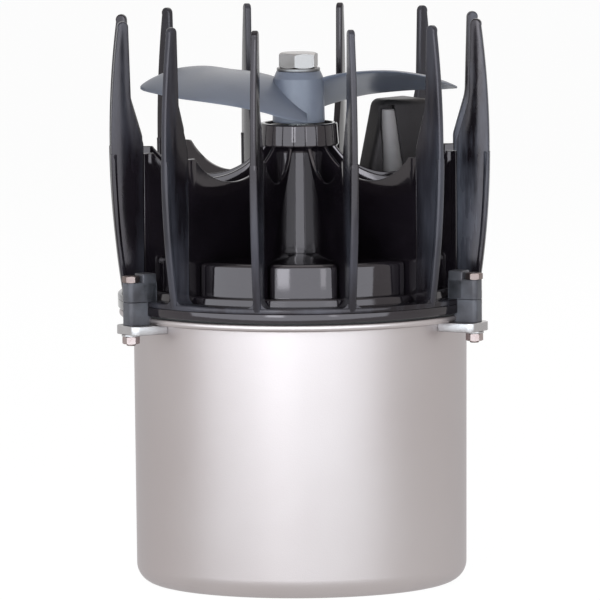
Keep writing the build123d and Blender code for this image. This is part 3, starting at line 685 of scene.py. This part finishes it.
# Bolt ears. Three lugs on the cover and three on the cage meet outside the can's rim, and a bolt
# through each pair also draws a stainless bar up under the rim, which clamps the can shut.
EAR_COUNT = 3
FIRST_EAR = -60
BOLT_CIRCLE = 105.0
EAR_HALF = 4.4
EAR_END = 108.2
EAR_CORNER = 2.4
EAR_SPLIT = 155.6
EAR_TOP = 166.0
EAR_BLOCK_TOP = 170.5
EAR_BLOCK_INNER = 91.6
EAR_BLOCK_OUTER = 100.0
SPLIT_GAP = 0.15
LUG_EDGE = 0.4
EAR_EDGE = 0.6
BLOCK_EDGE = 0.8
BAR_THICKNESS = 4.8
BAR_WIDTH = 20.0
BAR_OUTER = 109.4
BAR_GRIP = CAN_RADIUS + 0.15
BAR_CORNER = 4
BAR_EDGE = 0.35
HEAD_FLATS = 8.0
HEAD_HEIGHT = 3.5
SHANK_RADIUS = 2.5
SHANK_PROUD = 1.0
WASHER_RADIUS = 5.0
WASHER_THICKNESS = 1.0
WASHER_EDGE = 0.2
NUT_HEIGHT = 4.0

# The ears' black is painted greyer than the rest of the moulding: a painted sheen for the light
# their faces catch. Their rougher matt finish is their own.
sheen_painted_ear_black = finish(
    "ear_black_painted_sheen",
    (0.088, 0.088, 0.098), (0.036, 0.034, 0.037), (0.34, 0.48), 0.3, scale=700.0, drift=75.0,
    Specular_IOR_Level=0.3, Specular_Tint=(1, 0.9, 0.92, 1),
)


def lug_plan(inner):
    """Plan of a lug along +X: a slab whose outer end, past its bolt, has rounded corners."""
    corners = [(inner, EAR_HALF), (inner, -EAR_HALF), (EAR_END, -EAR_HALF), (EAR_END, EAR_HALF)]
    return soften(corners, [0, 0, EAR_CORNER, EAR_CORNER], steps=8)


build = bmesh.new()
lug_levels = rounded_levels(RIM_BOTTOM, EAR_SPLIT - SPLIT_GAP, LUG_EDGE, foot=LUG_EDGE, steps=3)
stack(build, lug_plan(FLANGE_RADIUS - 3 * SUNK), lug_levels)
cover_lug_set = piece_from(build, "cover_lug_set", sheen_painted_ear_black, sharp=40)
ring_of(cover_lug_set, EAR_COUNT, FIRST_EAR, sheen_painted_ear_black)
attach(cover_lug_set, "housing")
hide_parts("cover_lugs")

build = bmesh.new()
ear_levels = rounded_levels(EAR_SPLIT, EAR_TOP, EAR_EDGE, foot=EAR_EDGE / 2, steps=3)
stack(build, lug_plan(EAR_BLOCK_INNER), ear_levels)
block_plan = [
    (EAR_BLOCK_INNER, EAR_HALF), (EAR_BLOCK_INNER, -EAR_HALF), (EAR_BLOCK_OUTER, -EAR_HALF),
    (EAR_BLOCK_OUTER, EAR_HALF),
]
block_plan = soften(block_plan, [EAR_EDGE] * 4, steps=3)
stack(build, block_plan, rounded_levels(EAR_SPLIT + SUNK / 2, EAR_BLOCK_TOP, BLOCK_EDGE, steps=4))
cage_ear_set = piece_from(build, "cage_ear_set", sheen_painted_ear_black, sharp=40)
ring_of(cage_ear_set, EAR_COUNT, FIRST_EAR, sheen_painted_ear_black)
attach(cage_ear_set, "housing")

bar_steel = finish(
    "brushed_bar_steel",
    (0.40, 0.385, 0.385), (0.33, 0.315, 0.315), (0.26, 0.38), 0.3, scale=1200.0, drift=60.0,
    Metallic=1.0,
)
grip_end = math.sqrt(BAR_GRIP**2 - (BAR_WIDTH / 2) ** 2)
grip = arc_through((grip_end, BAR_WIDTH / 2), (BAR_GRIP, 0), (grip_end, -BAR_WIDTH / 2), 16)
bar_corners = grip + [(BAR_OUTER, -BAR_WIDTH / 2), (BAR_OUTER, BAR_WIDTH / 2)]
bar_plan = soften(bar_corners, [0] * len(grip) + [BAR_CORNER, BAR_CORNER], steps=8)
bar_bottom = RIM_BOTTOM - BAR_THICKNESS
bar_levels = rounded_levels(bar_bottom, RIM_BOTTOM, BAR_EDGE, foot=BAR_EDGE, steps=3)
build = bmesh.new()
stack(build, bar_plan, bar_levels)
clamp_bar_set = piece_from(build, "clamp_bar_set", bar_steel, sharp=40)
ring_of(clamp_bar_set, EAR_COUNT, FIRST_EAR, bar_steel)
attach(clamp_bar_set, "housing")
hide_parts("clamp_bars")


HEAD_SIDES = 72
HEAD_FACE = 0.96
HEAD_UNDERSIDE = 0.97
HEAD_BEVEL = 28


def hexagon(build, flats, bottom, top, centre=(0, 0), turn=0.0, bore=0.0):
    """A hexagon head or nut, its corners turned down to a round face above and below."""
    face_radius = flats / 2 * HEAD_FACE
    drop = math.tan(math.radians(HEAD_BEVEL))
    hole = max(bore, 0.01)

    def reach(angle):
        off = (angle + math.pi / 6) % (math.pi / 3) - math.pi / 6
        return flats / 2 / math.cos(off)

    def ring(radius_at, height_at):
        corners = []
        for index in range(HEAD_SIDES):
            angle = math.tau * index / HEAD_SIDES
            radius = radius_at(angle)
            x = centre[0] + radius * math.cos(angle + turn)
            y = centre[1] + radius * math.sin(angle + turn)
            corners.append(build.verts.new(Vector((x, y, height_at(radius))) * MM))
        return corners

    rings = [
        ring(lambda angle: hole, lambda radius: bottom),
        ring(lambda angle: min(reach(angle), flats / 2) * HEAD_UNDERSIDE, lambda radius: bottom),
        ring(reach, lambda radius: bottom + (radius - flats / 2) * drop),
        ring(reach, lambda radius: top - (radius - face_radius) * drop),
        ring(lambda angle: face_radius, lambda radius: top),
        ring(lambda angle: hole, lambda radius: top),
    ]
    skin(build, rings, closed=bore > 0)
    if bore == 0:
        build.faces.new(rings[0])
        build.faces.new(rings[-1])


def rod(build, radius, bottom, top, centre=(0, 0), sides=32, tip=0.4):
    """A plain round shank with a small chamfer at its lower end."""
    rings = []
    for reach, height in ((radius - tip, bottom), (radius, bottom + tip), (radius, top)):
        ring = []
        for index in range(sides):
            angle = math.tau * index / sides
            x = centre[0] + reach * math.cos(angle)
            y = centre[1] + reach * math.sin(angle)
            ring.append(build.verts.new(Vector((x, y, height)) * MM))
        rings.append(ring)
    capped(build, rings)


warm_steel = finish(
    "bright_fastener_steel",
    (0.20, 0.16, 0.15), (0.16, 0.12, 0.11), (0.32, 0.44), 0.25, scale=1500.0, drift=220.0,
    Metallic=1.0,
)
nut_top = bar_bottom - WASHER_THICKNESS
nut_bottom = nut_top - NUT_HEIGHT
on_circle = (BOLT_CIRCLE, 0)
build = bmesh.new()
hexagon(build, HEAD_FLATS, EAR_TOP, EAR_TOP + HEAD_HEIGHT, on_circle)
rod(build, SHANK_RADIUS, nut_bottom - SHANK_PROUD, EAR_TOP + SUNK / 2, on_circle)
ear_bolt_set = piece_from(build, "ear_bolt_set", warm_steel, sharp=25)
ring_of(ear_bolt_set, EAR_COUNT, FIRST_EAR, warm_steel)
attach(ear_bolt_set, "housing")
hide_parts("ear_bolts")

nut_steel = finish(
    "bright_nut_steel",
    (0.35, 0.295, 0.285), (0.27, 0.21, 0.20), (0.32, 0.44), 0.25, scale=1500.0, drift=220.0,
    Metallic=1.0,
)
build = bmesh.new()
hexagon(build, HEAD_FLATS, nut_bottom, nut_top, on_circle, bore=SHANK_RADIUS)
ear_nut_set = piece_from(build, "ear_nut_set", nut_steel, sharp=25)
ring_of(ear_nut_set, EAR_COUNT, FIRST_EAR, nut_steel)
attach(ear_nut_set, "housing")
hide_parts("ear_nuts")

washer_plan = []
for index in range(48):
    angle = math.tau * index / 48
    washer_plan.append(
        (BOLT_CIRCLE + WASHER_RADIUS * math.cos(angle), WASHER_RADIUS * math.sin(angle))
    )
build = bmesh.new()
washer_levels = rounded_levels(nut_top, bar_bottom, WASHER_EDGE, foot=WASHER_EDGE, steps=2)
stack(build, washer_plan, washer_levels)
ear_washer_set = piece_from(build, "ear_washer_set", bar_steel, sharp=40)
ring_of(ear_washer_set, EAR_COUNT, FIRST_EAR, bar_steel)
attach(ear_washer_set, "housing")
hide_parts("ear_washers")


# Cord tower. A dull black moulded box over one pocket, drafted on every side, where the power
# cord comes in. A half-round boss stands in an arched recess on the side towards the front.
TOWER_BEARING = 120
TOWER_TOP = 255.6
TOWER_INNER = (30.4, 49.6)
TOWER_OUTER = (79.0, 75.5)
TOWER_SIDE_GAP = 2.2
TOWER_DRAFT = 2.4
TOWER_CORNER = 4.0
TOWER_ROUND = 3.6
BOSS_PLACE = 51.3
BOSS_TOP = 250.6
BOSS_TOP_RADIUS = 3.3
BOSS_FOOT_RADIUS = 12.4
BOSS_FOOT_SHIFT = 6.0
BOSS_FOOT_PROUD = 3.2
BOSS_TOP_SUNK = 0.3
BOSS_DEPTH = 6.4
BOSS_EDGE = 0.8
BOSS_GROOVE = 1.1
GROOVE_DEPTH = 6.0
GROOVE_EDGE = 0.2
dull_black = finish(
    "dull_black_tower",
    (0.016, 0.0145, 0.0145), (0.009, 0.008, 0.008), (0.42, 0.56), 0.5, drift=30.0,
    Specular_IOR_Level=0.22, Specular_Tint=(1, 0.88, 0.9, 1),
)
# The boss is painted a light grey as a painted highlight. It is lighter than the tower's black so
# that it still shows bright in the recess's shade.
highlight_painted_boss_grey = finish(
    "tower_boss_painted_highlight", (0.235, 0.208, 0.203), (0.165, 0.148, 0.145), (0.4, 0.55), 0.4, drift=45.0,
    Specular_IOR_Level=0.35,
)
to_bearing = Matrix.Rotation(math.radians(TOWER_BEARING - 90), 4, "Z")


def tower_plan(height):
    """The tower's plan at a height: it narrows and its inner end leans outwards on the way up."""
    share = (height - POCKET_TOP) / (TOWER_TOP - POCKET_TOP)
    near = TOWER_INNER[0] + share * (TOWER_INNER[1] - TOWER_INNER[0])
    far = TOWER_OUTER[0] + share * (TOWER_OUTER[1] - TOWER_OUTER[0])
    draft = math.tan(math.radians(TOWER_DRAFT)) * (height - POCKET_TOP) / math.cos(half_step)
    lean = TOWER_SIDE_GAP + draft
    near_half = near * math.tan(half_step) - lean
    far_half = far * math.tan(half_step) - lean
    return [(near, near_half), (near, -near_half), (far, -far_half), (far, far_half)]


build = bmesh.new()
rings = []
tower_levels = [(POCKET_TOP, 0), (POCKET_TOP + 30, 0)]
for step in range(7):
    angle = math.pi / 2 * step / 6
    rise = TOWER_TOP - TOWER_ROUND * (1 - math.sin(angle))
    tower_levels.append((rise, TOWER_ROUND * (1 - math.cos(angle))))
for height, distance in tower_levels:
    plan = tower_plan(height)
    narrow = min(TOWER_CORNER, plan[0][1] * 0.8)
    plan = soften(plan, [narrow, narrow, TOWER_CORNER, TOWER_CORNER], steps=6)
    plan = inset(plan, distance) if distance else plan
    rings.append([build.verts.new(to_bearing @ (Vector((x, y, height)) * MM)) for x, y in plan])
capped(build, rings)
tower_shell = piece_from(build, "tower_shell", dull_black, sharp=40)

lean_in = math.tan(math.radians(TOWER_DRAFT)) * (TOWER_TOP - POCKET_TOP) / 2
face_y = BOSS_PLACE * math.tan(half_step) - TOWER_SIDE_GAP - lean_in
along_side = Matrix.Rotation(-half_step, 4, "Z")
to_side = to_bearing @ Matrix.Translation(Vector((BOSS_PLACE, -face_y, 0)) * MM) @ along_side


def leaning_cone(name, groove, foot, top, deep, edge):
    """A cone on the tower's side that widens and leans downwards, cut flat behind at a depth."""
    build = bmesh.new()
    rings = []
    levels = [(foot, 0), (top - edge, 0)]
    for angle in (0.3, 0.6, 0.9, 1.2, math.pi / 2):
        levels.append((top - edge + edge * math.sin(angle), edge * (1 - math.cos(angle))))
    for height, taken in levels:
        share = (height - foot) / (top - foot)
        radius = (1 - share) * BOSS_FOOT_RADIUS + share * BOSS_TOP_RADIUS + groove
        x = (1 - share) * BOSS_FOOT_SHIFT - groove
        depth = (1 - share) * (BOSS_FOOT_RADIUS - BOSS_FOOT_PROUD)
        depth += share * (BOSS_TOP_RADIUS + BOSS_TOP_SUNK)
        half = math.acos(max(-1.0, min(1.0, (depth - deep) / radius)))
        ring = []
        for index in range(41):
            angle = -math.pi / 2 - half + 2 * half * index / 40
            reach = radius - taken
            spot = (x + reach * math.cos(angle), min(depth + reach * math.sin(angle), deep), height)
            ring.append(build.verts.new(to_side @ (Vector(spot) * MM)))
        rings.append(ring)
    capped(build, rings)
    return piece_from(build, name, highlight_painted_boss_grey, sharp=35)


groove_top = BOSS_TOP + 2 * BOSS_GROOVE
groove_cutter = leaning_cone(
    "groove_cutter", BOSS_GROOVE, POCKET_TOP - SUNK, groove_top, GROOVE_DEPTH, GROOVE_EDGE
)
carve = tower_shell.modifiers.new("recess", "BOOLEAN")
carve.operation = "DIFFERENCE"
carve.solver = "EXACT"
carve.object = groove_cutter
tower_mesh = settle(tower_shell)
bpy.data.objects.remove(groove_cutter)
shade(tower_mesh, 30)
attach(tower_shell, "housing")
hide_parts("cord_tower")
tower_boss = leaning_cone("tower_boss", 0.0, POCKET_TOP, BOSS_TOP, BOSS_DEPTH, BOSS_EDGE)
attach(tower_boss, "housing")


# Cord gland. A black nylon fitting screwed into the tower's outer face: a hexagon body, then a
# tapered dome nut that squeezes the cord when it is tightened.
GLAND_HEIGHT = 208.0
GLAND_BORE = 4.6
GLAND_FLATS = 20.0
GLAND_BODY = 7
GLAND_LENGTH = 16.0
GLAND_THREAD = 6.5
GLAND_STUB = 4.5
GLAND_SHOULDER = 3
DOME_RADIUS = 8.2
DOME_TAPER = 6
lowest_share = (GLAND_HEIGHT - GLAND_FLATS / math.sqrt(3) - POCKET_TOP) / (TOWER_TOP - POCKET_TOP)
gland_face = TOWER_OUTER[0] + lowest_share * (TOWER_OUTER[1] - TOWER_OUTER[0])
nylon = finish(
    "gland_nylon", (0.03, 0.03, 0.031), (0.02, 0.02, 0.021), (0.35, 0.5), 0.2,
    Specular_IOR_Level=0.4,
)
dome_end = DOME_RADIUS - (GLAND_LENGTH - GLAND_BODY) * math.tan(math.radians(DOME_TAPER))
dome_outline = soften(
    [
        (GLAND_BORE, -GLAND_STUB), (GLAND_THREAD, -GLAND_STUB), (GLAND_THREAD, GLAND_SHOULDER),
        (DOME_RADIUS, GLAND_BODY), (dome_end, GLAND_LENGTH), (GLAND_BORE, GLAND_LENGTH),
    ],
    [0, 0.3, 0, 0.6, 2.2, 0.8],
    steps=5,
)
gland_nut = turned("gland_nut", dome_outline, nylon, slices=64)
build = bmesh.new()
hexagon(build, GLAND_FLATS, 0.05, GLAND_BODY, bore=GLAND_BORE + 0.4)
gland_body = piece_from(build, "gland_body", nylon, sharp=25)
on_face = Matrix.Translation(Vector((gland_face, 0, GLAND_HEIGHT)) * MM)
lay_out = to_bearing @ on_face @ Matrix.Rotation(math.pi / 2, 4, "Y")
for part in (gland_nut, gland_body):
    part.data.transform(lay_out)
    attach(part, "housing")
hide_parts("cord_gland")


# Propeller. Grey moulded plastic: a tapered hub and two swept blades, thick at the root where
# each wraps low round the hub, and thinned to the tip.
PROP_RADIUS = 85.0
HUB_BOTTOM = 246.0
HUB_TOP = 273.3
HUB_RADIUS = 14.0
HUB_NECK_RADIUS = 13.4
HUB_CAP_RADIUS = 11.7
HUB_CHAMFER = 4
SHAFT_RADIUS = 9.525
BLADE_SECTIONS = (
    # place along the blade, front (depth, height), back (depth, height), thickness, camber
    (-4.0, (19.0, 247.0), (8.0, 252.4), 2.6, 0.2),
    (8.0, (25.0, 249.8), (-3.0, 267.0), 4.0, 0.8),
    (20.0, (28.0, 253.6), (-7.5, 271.6), 4.0, 1.4),
    (35.0, (31.5, 257.1), (-12.0, 273.3), 3.8, 2.1),
    (50.0, (28.0, 259.2), (-24.5, 274.2), 3.4, 2.4),
    (65.0, (20.5, 260.8), (-30.0, 272.3), 3.0, 2.0),
    (76.0, (6.5, 262.1), (-25.5, 268.4), 2.4, 1.6),
    (82.0, (0.0, 263.1), (-18.0, 265.8), 1.8, 0.5),
    (PROP_RADIUS - 0.8, (-6.0, 263.8), (-11.0, 264.6), 1.0, 0.1),
)
prop_grey = finish(
    "grey_propeller_plastic",
    (0.135, 0.145, 0.180), (0.098, 0.106, 0.136), (0.32, 0.42), 0.25, scale=800.0, drift=35.0,
    Specular_IOR_Level=0.45,
)


def blended(values, share):
    """A smooth cubic curve through evenly spaced values, at a share of its length."""
    spot = share * (len(values) - 1)
    index = min(int(spot), len(values) - 2)
    t = spot - index
    near = [max(0, min(len(values) - 1, index + k)) for k in (-1, 0, 1, 2)]
    before, here, after, last = (values[number] for number in near)
    cubic = 3 * (here - after) + last - before
    square = 2 * before - 5 * here + 4 * after - last + t * cubic
    return here + 0.5 * t * (after - before + t * square)


def blade_ring(build, share, sides=20):
    """One closed section of the blade, rounded at both edges like a thin ellipse."""
    flat = [(s[0], s[1][0], s[1][1], s[2][0], s[2][1], s[3], s[4]) for s in BLADE_SECTIONS]
    place, front_d, front_z, back_d, back_z, thick, camber = (
        blended([row[column] for row in flat], share) for column in range(7)
    )
    front = Vector((-front_d, front_z))
    back = Vector((-back_d, back_z))
    chord = back - front
    normal = Vector((-chord.y, chord.x)).normalized()
    ring = []
    for index in range(2 * sides):
        angle = math.pi * index / sides
        along = (1 - math.cos(angle)) / 2
        side = math.sin(angle)
        lift = camber * 4 * along * (1 - along) + thick / 2 * side
        spot = front + chord * along + normal * lift
        ring.append(build.verts.new(Vector((-place, spot.x, spot.y)) * MM))
    return ring


build = bmesh.new()
stations = 64
for turn in (0, math.pi):
    rings = [blade_ring(build, index / stations) for index in range(stations + 1)]
    capped(build, rings)
    if turn == 0:
        half_turn = Matrix.Rotation(math.pi, 3, "Z")
        bmesh.ops.rotate(build, verts=build.verts, cent=(0, 0, 0), matrix=half_turn)
propeller_blades = piece_from(build, "propeller_blades", prop_grey, sharp=60)
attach(propeller_blades, "rotor")

hub_outline = soften(
    [
        (SHAFT_RADIUS, HUB_BOTTOM), (HUB_RADIUS, HUB_BOTTOM),
        (HUB_NECK_RADIUS, HUB_TOP - HUB_CHAMFER), (HUB_CAP_RADIUS, HUB_TOP),
        (SHAFT_RADIUS, HUB_TOP),
    ],
    [0, 0.5, 1.5, 0.6, 0],
    steps=5,
)
propeller_hub = turned("propeller_hub", hub_outline, prop_grey, slices=128)
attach(propeller_hub, "rotor")
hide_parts("propeller")


# Propeller bolt and washer. A half-inch hexagon bolt of stainless steel, turned tight on a flat
# washer, holds the hub down on the shaft.
PROP_WASHER_THICKNESS = 1.7
PROP_WASHER_RADIUS = 11.55
PROP_WASHER_BORE = 6.6
PROP_BOLT_FLATS = 19.05
PROP_BOLT_HEAD = 8.0
PROP_BOLT_RADIUS = 6.3
PROP_BOLT_END = 250.0
PROP_BOLT_TURN = 48
WASHER_TOP = HUB_TOP + PROP_WASHER_THICKNESS
bolt_steel = finish(
    "satin_bolt_steel",
    (0.29, 0.277, 0.272), (0.235, 0.222, 0.217), (0.3, 0.42), 0.35, scale=1600.0, drift=90.0,
    Metallic=1.0,
)
washer_steel = finish(
    "dull_washer_steel",
    (0.18, 0.175, 0.177), (0.13, 0.127, 0.128), (0.34, 0.46), 0.35, scale=1600.0, drift=90.0,
    Metallic=1.0,
)
washer_outline = soften(
    [
        (PROP_WASHER_BORE, HUB_TOP), (PROP_WASHER_RADIUS, HUB_TOP),
        (PROP_WASHER_RADIUS, WASHER_TOP), (PROP_WASHER_BORE, WASHER_TOP),
    ],
    [0, 0.4, 0.4, 0],
    steps=4,
)
propeller_washer = turned("propeller_washer", washer_outline, washer_steel, slices=96)
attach(propeller_washer, "rotor")
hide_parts("prop_washer")
build = bmesh.new()
head_top = WASHER_TOP + PROP_BOLT_HEAD
hexagon(build, PROP_BOLT_FLATS, WASHER_TOP, head_top, turn=math.radians(PROP_BOLT_TURN))
rod(build, PROP_BOLT_RADIUS, PROP_BOLT_END, WASHER_TOP + SUNK)
propeller_bolt = piece_from(build, "propeller_bolt", bolt_steel, sharp=25)
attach(propeller_bolt, "rotor")
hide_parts("prop_bolt")


# Shaft line and motor. What turns and what holds it inside the can: ground shaft, seal, bearings,
# cast end bells, stator and rotor. Their shapes come from the frame, and each gets its finish here.
WINDING_MIDDLE = 0.054
ground_steel = finish(
    "ground_shaft_steel",
    (0.56, 0.56, 0.56), (0.48, 0.48, 0.48), (0.16, 0.26), 0.2, round_radius=0.01,
    Metallic=1.0,
)
race_steel = finish(
    "polished_race_steel",
    (0.62, 0.62, 0.63), (0.55, 0.55, 0.56), (0.1, 0.18), 0.1, round_radius=0.02,
    Metallic=1.0,
)
plated_steel = finish(
    "zinc_plated_steel", (0.55, 0.56, 0.58), (0.45, 0.45, 0.42), (0.28, 0.4), 0.2,
    Metallic=1.0,
)
black_rubber = finish(
    "gasket_rubber_black", (0.022, 0.022, 0.022), (0.014, 0.014, 0.014), (0.6, 0.75), 0.4,
    Specular_IOR_Level=0.3,
)
seal_rubber = finish(
    "nitrile_seal_rubber", (0.035, 0.028, 0.024), (0.02, 0.017, 0.015), (0.45, 0.6), 0.3,
    Specular_IOR_Level=0.35,
)
cast_alloy = finish(
    "cast_bell_alloy", (0.52, 0.52, 0.53), (0.42, 0.42, 0.43), (0.45, 0.6), 0.8, scale=400.0,
    Metallic=1.0,
)
core_steel, tree, shader = new_material("laminated_core_steel", Metallic=1.0)
place, _, _, bump = grained(
    tree, shader, (0.22, 0.23, 0.25), (0.15, 0.16, 0.18), (0.4, 0.52), 0.2
)
layers = add(
    tree, "ShaderNodeTexWave", {"wave_type": "BANDS", "bands_direction": "Z"},
    Vector=place, Scale=320.0, Distortion=0.0,
)
tree.links.new(layers.outputs[1], bump.inputs["Height"])
enamel_copper, tree, shader = new_material("enamelled_copper_wire", Metallic=0.85)
place, _, _, bump = grained(
    tree, shader, (0.62, 0.26, 0.10), (0.42, 0.15, 0.05), (0.24, 0.36), 0.7
)
unrolled = add(
    tree, "ShaderNodeGroup", {"node_tree": round_tree}, Vector=place, Radius=WINDING_MIDDLE
)
wires = add(
    tree, "ShaderNodeTexWave", {"wave_type": "BANDS", "bands_direction": "Z"},
    Vector=unrolled.outputs["Vector"], Scale=260.0, Distortion=2.5, Detail=2.0,
)
tree.links.new(wires.outputs[1], bump.inputs["Height"])
node_finish = {
    "drive_shaft": ground_steel,
    "lower_bearing_inner": race_steel,
    "upper_bearing_inner": race_steel,
    "lower_bearing_outer": race_steel,
    "upper_bearing_outer": race_steel,
    "shaft_key": plated_steel,
    "tie_rods": plated_steel,
    "cover_gasket": black_rubber,
    "shaft_seal": seal_rubber,
    "seal_slinger": seal_rubber,
    "lower_end_bell": cast_alloy,
    "upper_end_bell": cast_alloy,
    "stator_core": core_steel,
    "rotor_core": core_steel,
    "stator_windings": enamel_copper,
}
for name, material in node_finish.items():
    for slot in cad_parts[name].material_slots:
        slot.material = material


# Studio. A plain pale floor and surround, seen as white. A wide low panel stands close in front,
# two upright strips further off left and right of the camera, one lamp above and one behind. The
# camera stands at the photograph's angle.
AIM_HEIGHT = 0.1504
FLOOR_SIZE = 14
FLOOR_DROP = 0.0002
FLOOR_GLOW = 1.06
FLOOR_GLOW_SHARE = 0.9
PAPER_WHITE = 0.92


def seen_plainly(tree):
    """1 for a camera ray or one mirrored or let through on its way, and 0 for the lighting."""
    path = add(tree, "ShaderNodeLightPath").outputs
    larger = {"operation": "MAXIMUM"}
    bent = add(
        tree, "ShaderNodeMath", larger, _0=path["Is Glossy Ray"], _1=path["Is Transmission Ray"]
    )
    seen = add(tree, "ShaderNodeMath", larger, _0=path["Is Camera Ray"], _1=bent.outputs[0])
    return seen.outputs[0]


world = bpy.data.worlds.new("studio")
bpy.context.scene.world = world
world.use_nodes = True
tree = world.node_tree
tree.nodes.clear()
dim = add(tree, "ShaderNodeBackground", Color=(1.0, 0.98, 0.96, 1), Strength=0.15)
bright = add(tree, "ShaderNodeBackground", Color=(1, 1, 1, 1), Strength=1.0)
chosen = add(
    tree, "ShaderNodeMixShader", _0=seen_plainly(tree), _1=dim.outputs[0], _2=bright.outputs[0]
)
add(tree, "ShaderNodeOutputWorld", Surface=chosen.outputs[0])

bpy.ops.mesh.primitive_plane_add(size=FLOOR_SIZE, location=(0, 0, -FLOOR_DROP))
floor = bpy.context.object
floor.name = "floor"
paper, tree, shader = new_material("studio_paper", Roughness=0.9)
shader.inputs["Base Color"].default_value = (PAPER_WHITE, PAPER_WHITE, PAPER_WHITE, 1)
share = product(tree, seen_plainly(tree), FLOOR_GLOW_SHARE)
glow = add(tree, "ShaderNodeEmission", Color=(1, 1, 1, 1), Strength=FLOOR_GLOW)
blend = add(tree, "ShaderNodeMixShader", _0=share, _1=shader.outputs[0], _2=glow.outputs[0])
tree.links.new(blend.outputs[0], tree.nodes["Material Output"].inputs["Surface"])
floor.data.materials.append(paper)

aim = Vector((0, 0, AIM_HEIGHT))


def seen_from(bearing, height):
    """The direction from the object at a bearing from the front and a height angle, in degrees."""
    turn, rise = math.radians(bearing), math.radians(height)
    level = math.cos(rise)
    return Vector((math.sin(turn) * level, -math.cos(turn) * level, math.sin(rise)))


def soft_lamp(name, bearing, height, distance, size, power, colour):
    """A rectangular soft lamp that faces the object; sizes are in metres and power in watts."""
    lamp = bpy.data.lights.new(name, "AREA")
    lamp.shape = "RECTANGLE"
    lamp.size, lamp.size_y = size
    lamp.energy = power
    lamp.color = colour
    holder = bpy.data.objects.new(name, lamp)
    toward = seen_from(bearing, height)
    holder.location = aim + toward * distance
    holder.rotation_euler = toward.to_track_quat("Z", "Y").to_euler()
    bpy.context.scene.collection.objects.link(holder)


soft_lamp("front_panel", -9, 9.5, 0.75, (3.0, 0.55), 17, (0.82, 0.92, 1.0))
soft_lamp("window_strip", -17, 8, 2.6, (0.5, 0.8), 8.5, (0.87, 0.94, 1.0))
soft_lamp("top", 0, 80, 2.0, (1.6, 1.6), 7, (1.0, 1.0, 1.0))
soft_lamp("slim_strip", 19, 8, 2.6, (0.22, 0.8), 1.7, (0.9, 0.95, 1.0))
soft_lamp("back_fill", 160, 38, 1.8, (1.4, 1.0), 5, (1.0, 0.98, 0.96))

CAMERA_DISTANCE = 6.0
CAMERA_BEARING = -1.5
CAMERA_HEIGHT = 5.9
CAMERA_ROLL = 0.4
VIEW_WIDTH = 0.3204
SENSOR_WIDTH = 36
camera = bpy.data.cameras.new("camera")
camera.sensor_width = SENSOR_WIDTH
camera.lens = SENSOR_WIDTH * CAMERA_DISTANCE / VIEW_WIDTH
camera.clip_end = 50
camera_holder = bpy.data.objects.new("camera", camera)
toward = seen_from(CAMERA_BEARING, CAMERA_HEIGHT)
camera_holder.location = aim + toward * CAMERA_DISTANCE
upright = toward.to_track_quat("Z", "Y").to_matrix()
rolled = upright @ Matrix.Rotation(math.radians(-CAMERA_ROLL), 3, "Z")
camera_holder.rotation_euler = rolled.to_euler()
bpy.context.scene.collection.objects.link(camera_holder)
bpy.context.scene.camera = camera_holder
bpy.context.scene.view_settings.view_transform = "Standard"
